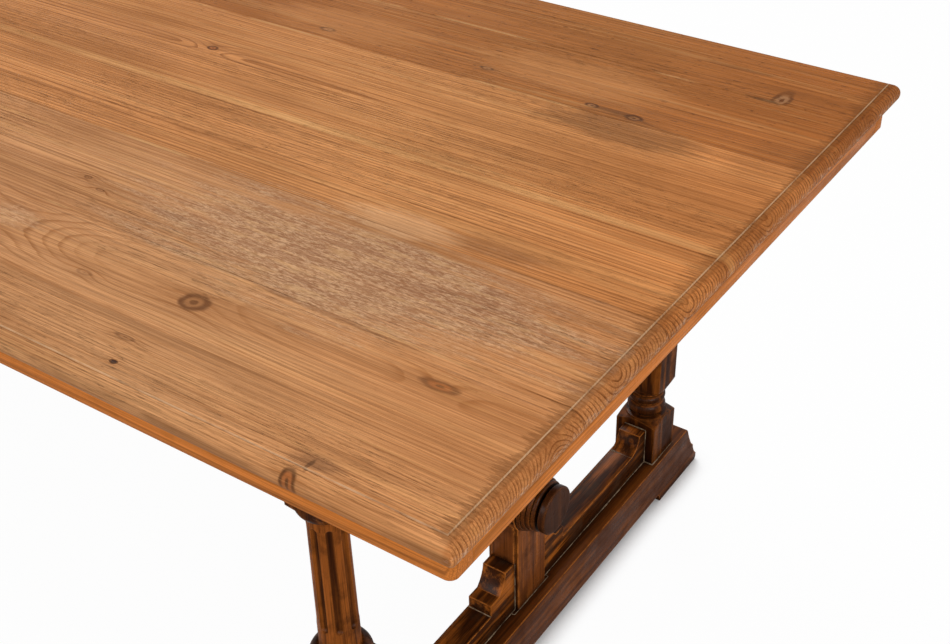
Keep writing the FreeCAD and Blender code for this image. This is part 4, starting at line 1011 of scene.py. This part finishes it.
APRON = dict(spacing=4.0, ground=APRON_STAIN, line=APRON_LINE, stripe=0.6, streaks=0.25, wear_and_highlight=0.5, dirt=0.12)
STAINED = {
    "column": dict(grain="z", pith=(700, 100), spacing=6.0, ground=WARM_STAIN, stripe=0.85, wear_and_highlight=0.30,
                   ridge_highlight_share=0.75, wander=18),
    "post": dict(grain="z", pith=(900, -930), spacing=5.0, ground=POST_STAIN, stripe=1.0, streaks=0.6),
    "foot": dict(grain="y", pith=(40, -900), spacing=9.0, ground=FOOT_STAIN, stripe=0.45, streaks=0.30,
                 dirt=0.22),
    "rail": dict(grain="y", pith=(-30, -900), spacing=8.0, ground=WARM_STAIN, stripe=0.85, streaks=0.85,
                 dirt_color=GREY_GRIME),
    "boss": dict(grain="x", pith=(0, 281), spacing=3.0, ground=FOOT_STAIN, streaks=0.25),
    "cap": dict(grain="z", pith=(300, 160), spacing=8.0, ground=CAP_STAIN, stripe=0.15, streaks=0.06),
    "stretcher": dict(grain="x", pith=(60, 180), spacing=6.0, ground=WARM_STAIN, stripe=0.6, streaks=0.3),
    "apron_long": dict(grain="x", pith=(700, 500), **APRON),
    "apron_end": dict(grain="y", pith=(900, 500), **APRON),
}
stained = {name: stained_wood(name, **recipe) for name, recipe in STAINED.items()}
print("stained finishes:", list(stained))

# %% [markdown]
# ## Base pieces with soft arrises
# The CAD solids have the right shapes but knife edges. A copy of each is merged into one skin, its flat
# triangles are joined into faces, and every sharp edge is rounded a little, as a scraper and years of use
# do. The rounded strips carry the attribute that the worn arrises read.


# %% Copy a CAD node with eased edges
SHARP_EDGE = math.radians(28)


def eased_copy(node, finish, width):
    """A merged copy of a CAD node, its sharp edges rounded by width in millimetres."""
    shape = bmesh.new()
    shape.from_mesh(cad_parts[node].data)
    bmesh.ops.remove_doubles(shape, verts=shape.verts, dist=1e-5)
    bmesh.ops.dissolve_limit(shape, angle_limit=math.radians(0.2), verts=shape.verts, edges=shape.edges)
    sharp = [edge for edge in shape.edges if edge.is_manifold and edge.calc_face_angle() > SHARP_EDGE]
    strip = shape.faces.layers.float.new("eased_strip")
    eased = bmesh.ops.bevel(shape, geom=sharp, offset=width * MM, segments=3, profile=0.5, affect="EDGES",
                            clamp_overlap=True)
    for face in eased["faces"]:
        face[strip] = 1.0
    piece = finished_object("eased_" + node, shape, 40)
    piece.data.materials.append(finish)
    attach(piece, "root")
    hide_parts(node)
    print(piece.name, len(piece.data.polygons), "faces")


for end in ("left", "right"):
    eased_copy(f"foot_{end}", stained["foot"], 1.5)
    eased_copy(f"centre_post_{end}", stained["post"], 1.5)
    for side in ("front", "back"):
        eased_copy(f"scroll_rail_{end}_{side}", stained["rail"], 1.8)
    eased_copy(f"apron_{end}", stained["apron_end"], 1.2)
for side in ("front", "back"):
    eased_copy(f"apron_{side}", stained["apron_long"], 1.2)
eased_copy("stretcher", stained["stretcher"], 1.5)

# %% [markdown]
# ## Old wax in the corners
# Where a rail, post or plinth meets the foot, wax and dust have dried into a thin pale line. It follows the
# corners, so Geometry Nodes draw it: the corners go in as plain edges, become curves, and a small round
# section whose size a noise varies is swept along them. Where the noise is low the line shrinks away into
# the corner.

# %% A tree that sweeps wax along edges, and the wax's finish
WAX_BEIGE = (0.28, 0.195, 0.115)
WAX_DUST = (0.085, 0.048, 0.024)

wax_line, net, start = new_tool("wax_line", {
    "Corners": "Geometry", "Width": "Float", "Step": "Float", "Seed": "Float", "Finish": "Material",
})
curves = net.put("GeometryNodeMeshToCurve", {"Mesh": start["Corners"]})[0]
curves = net.put("GeometryNodeResampleCurve", {"Curve": curves, "Length": start["Step"]}, mode="LENGTH")[0]
place = net.put("GeometryNodeInputPosition")[0]
uneven = net.put("ShaderNodeTexNoise", {
    "Vector": place, "W": start["Seed"], "Scale": 26.0, "Detail": 4.0,
}, noise_dimensions="4D")["Fac"]
size = net.put("ShaderNodeMapRange", {
    "Value": uneven, "From Min": 0.38, "From Max": 0.64, "To Min": 0.10, "To Max": 1.0,
})[0]
section = net.put("GeometryNodeCurvePrimitiveCircle", {"Resolution": 8, "Radius": 1.0})[0]
wax_body = net.put("GeometryNodeCurveToMesh", {
    "Curve": curves, "Profile Curve": section, "Scale": net.times(size, start["Width"]), "Fill Caps": True,
})[0]
finish_tool(net, start, wax_body)

wax_finish, net, shader, where = new_material("dried_wax")
dusty = net.speckle(where, 180.0, 4, 0.65)
net.fill(shader, {
    "Base Color": net.mix(net.ease(dusty, 0.40, 0.65), WAX_BEIGE, WAX_DUST),
    "Roughness": net.ease(dusty, 0.3, 0.7, 0.6, 0.85),
    "Normal": net.bump(dusty, 0.0005),
})

# %% [markdown]
# ## Where the wax lies
# The boxes of the CAD nodes give the corners at the foot. The steps of the scroll rail are named heights
# and distances from the middle of the table.

# %% Lay the wax round each trestle
POST_FACE = 36.0 * MM
PLINTH_FACE = 350.5 * MM
RAIL_STEPS = (
    (POST_FACE, 185.5 * MM), (PLINTH_FACE, 158.0 * MM), (307.0 * MM, 131.0 * MM), (97.0 * MM, 131.0 * MM),
)


def footprint(node):
    """The outline of a node's box seen from above, closed."""
    low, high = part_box(node)
    return [(low[0], low[1]), (high[0], low[1]), (high[0], high[1]), (low[0], high[1]), (low[0], low[1])]


def wax_corners(end):
    """The corners of one trestle where wax has gathered, as lists of points in metres."""
    foot_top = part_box(f"foot_{end}")[1][2]
    runs = [footprint(f"centre_post_{end}")]
    lines = []
    for side, facing in (("front", -1), ("back", 1)):
        rail_low, rail_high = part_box(f"scroll_rail_{end}_{side}")
        runs.append(footprint(f"column_{end}_{side}"))
        at_post = facing * POST_FACE
        at_plinth = facing * PLINTH_FACE
        for px in (rail_low[0], rail_high[0]):
            runs.append([(px, at_post), (px, at_plinth)])
            lines.append([(px, at_post, foot_top), (px, at_post, 184.0 * MM)])
            lines.append([(px, at_plinth, foot_top), (px, at_plinth, 157.0 * MM)])
        for distance, height in RAIL_STEPS:
            py = facing * distance
            lines.append([(rail_low[0], py, height), (rail_high[0], py, height)])
    return lines + [[(px, py, foot_top) for px, py in run] for run in runs]


def lay_wax(end, seed):
    """One mesh of wax lines for one trestle."""
    points = []
    edges = []
    for line in wax_corners(end):
        first = len(points)
        points.extend(line)
        edges.extend((first + index, first + index + 1) for index in range(len(line) - 1))
    corners = bpy.data.meshes.new("wax_corners")
    corners.from_pydata(points, edges, [])
    sketch = bpy.data.objects.new("wax_corners", corners)
    bpy.context.scene.collection.objects.link(sketch)
    wax = run_tool(sketch, wax_line, f"dried_wax_{end}",
                   Width=1.5 * MM, Step=4.0 * MM, Seed=seed, Finish=wax_finish)
    wax.data.shade_smooth()
    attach(wax, "root")
    print(wax.name, len(wax.data.polygons), "faces")


lay_wax("left", 4.0)
lay_wax("right", 9.0)

# %% [markdown]
# ## Pieces kept from the CAD model
# The turned columns, bosses and caps are finely faceted already, and the bearers, batten, blocks, tongues
# and screws are under the top or inside the joints. They keep their CAD meshes and only take a finish.


# %% Finish the kept nodes
def plain_wood(name, grain, seed):
    """Bare sawn wood for the pieces under the top."""
    material, net, shader, where = new_material(name)
    rings = net.group(growth_rings, Vector=along_grain(net, where, grain), Pith=(0, 0.3, 0.4), Spacing=0.005,
                      Seed=seed)
    color = net.mix(net.times(rings["Late"], 0.7), (0.40, 0.205, 0.088), (0.23, 0.100, 0.036))
    net.fill(shader, {
        "Base Color": fibre_shade(net, color, rings["Fibre"], 0.8, 1.1),
        "Roughness": net.ease(rings["Fibre"], 0.3, 0.7, 0.6, 0.8), "Specular IOR Level": 0.12,
        "Normal": net.bump(rings["Fibre"], 0.0004),
    })
    return material


def screw_steel():
    """Dull steel with a few dark spots."""
    material, net, shader, where = new_material("dull_screw_steel")
    spots = net.speckle(where, 900.0, 4, 0.6)
    net.fill(shader, {
        "Base Color": net.mix(net.ease(spots, 0.45, 0.65), (0.42, 0.41, 0.39), (0.20, 0.15, 0.11)),
        "Roughness": net.ease(spots, 0.4, 0.7, 0.30, 0.60), "Metallic": 1.0,
    })
    return material


cross_wood = plain_wood("plain_wood_across", "y", 1.3)
long_wood = plain_wood("plain_wood_along", "x", 2.9)
steel = screw_steel()
FINISH_BY_START = {
    "column": stained["column"], "stretcher_boss": stained["boss"], "end_cap": stained["cap"],
    "bearer_left": cross_wood, "bearer_right": cross_wood, "centre_batten": cross_wood,
    "corner_block": long_wood, "plank_tongue": long_wood,
    "apron_screws": steel, "batten_screws": steel, "bearer_screws": steel, "rail_screws": steel,
}
kept = []
for name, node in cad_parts.items():
    for beginning, finish in FINISH_BY_START.items():
        if name.startswith(beginning):
            kept.append(name)
            for material_slot in node.material_slots:
                material_slot.material = finish
print(len(kept), "CAD nodes kept")

# %% [markdown]
# ## Floor
# The photograph stands on plain white with a faint soft shadow. The floor is white to the camera and a
# plain pale surface to the light. Close to the feet an ambient-occlusion reading turns the white down, a
# painted contact shadow, and there the pale surface shows with the table's real shadow on it. From below the
# floor is clear.

# %% Floor
FLOOR_REACH = 9.0


def looked_at(net):
    """One for rays that come from the camera, straight or by a mirror or glass, and nought for the rest."""
    ray = net.put("ShaderNodeLightPath")
    mirrored = net.plus(ray["Is Glossy Ray"], ray["Is Transmission Ray"])
    return net.calc("ADD", ray["Is Camera Ray"], mirrored, clamp=True)


floor_mesh = bpy.data.meshes.new("studio_floor")
floor_corners = [(side_x * FLOOR_REACH, side_y * FLOOR_REACH, 0)
                 for side_x, side_y in ((-1, -1), (1, -1), (1, 1), (-1, 1))]
floor_mesh.from_pydata(floor_corners, [], [(0, 1, 2, 3)])
floor = bpy.data.objects.new("studio_floor", floor_mesh)
bpy.context.scene.collection.objects.link(floor)
floor_paint = bpy.data.materials.new("floor_paint")
floor_paint.use_nodes = True
floor_paint.node_tree.nodes.clear()
net = Net(floor_paint.node_tree)
matt = net.put("ShaderNodeBsdfDiffuse", {"Color": (0.90, 0.90, 0.90, 1)})[0]
white = net.put("ShaderNodeEmission", {"Color": (1, 1, 1, 1), "Strength": 1.0})[0]
contact_shadow_ao = net.put("ShaderNodeAmbientOcclusion", {"Distance": 0.04}, samples=8)["AO"]
# Painted contact shadow: less white where the ambient-occlusion reading finds the feet close.
share = net.times(looked_at(net), net.ease(contact_shadow_ao, 0.42, 0.97, 0.0, 0.97))
surface = net.put("ShaderNodeMixShader", {0: share, 1: matt, 2: white})[0]
below_floor = net.put("ShaderNodeNewGeometry")["Backfacing"]
clear = net.put("ShaderNodeBsdfTransparent")[0]
surface = net.put("ShaderNodeMixShader", {0: below_floor, 1: surface, 2: clear})[0]
net.fill(net.tree.nodes.new("ShaderNodeOutputMaterial"), {0: surface})
floor_mesh.materials.append(floor_paint)
print("the floor reaches", FLOOR_REACH, "m each way")

# %% [markdown]
# ## Light
# A dim even sky fills the shadows. A broad lamp overhead lights the top, one from the front and one from
# the right light the sides, and a weak one near the corner softens it. To the camera the sky is plain
# white.

# %% World and lamps
SKY_LIGHT = 0.36
LAMPS = (
    ("overhead_lamp", (-1.4, 1.4, 4.0), (0.5, 0, 0.6), 2.4, 110.0),
    ("front_lamp", (-0.4, -4.2, 2.6), (0.6, 0, 0.5), 2.4, 52.0),
    ("right_lamp", (4.2, -1.4, 2.0), (0.9, 0, 0.4), 1.6, 50.0),
    ("near_lamp", (2.3, -1.7, 2.6), (1.0, -0.2, 0.6), 0.9, 8.0),
)

world = bpy.data.worlds.new("studio_world")
bpy.context.scene.world = world
world.use_nodes = True
net = Net(world.node_tree)
brightness = net.calc("MULTIPLY_ADD", looked_at(net), 1.0 - SKY_LIGHT, SKY_LIGHT)
net.fill(world.node_tree.nodes["Background"], {"Color": (1, 1, 1, 1), "Strength": brightness})

for name, place, target, size, power in LAMPS:
    light = bpy.data.lights.new(name, "AREA")
    light.size = size
    light.energy = power
    lamp = bpy.data.objects.new(name, light)
    lamp.location = place
    lamp.rotation_euler = (Vector(target) - Vector(place)).to_track_quat("-Z", "Y").to_euler()
    bpy.context.scene.collection.objects.link(lamp)
print("lamps:", [lamp[0] for lamp in LAMPS])

# %% [markdown]
# ## The box of the CAD model
# The dressed table is meant to stay inside the box of the CAD model.
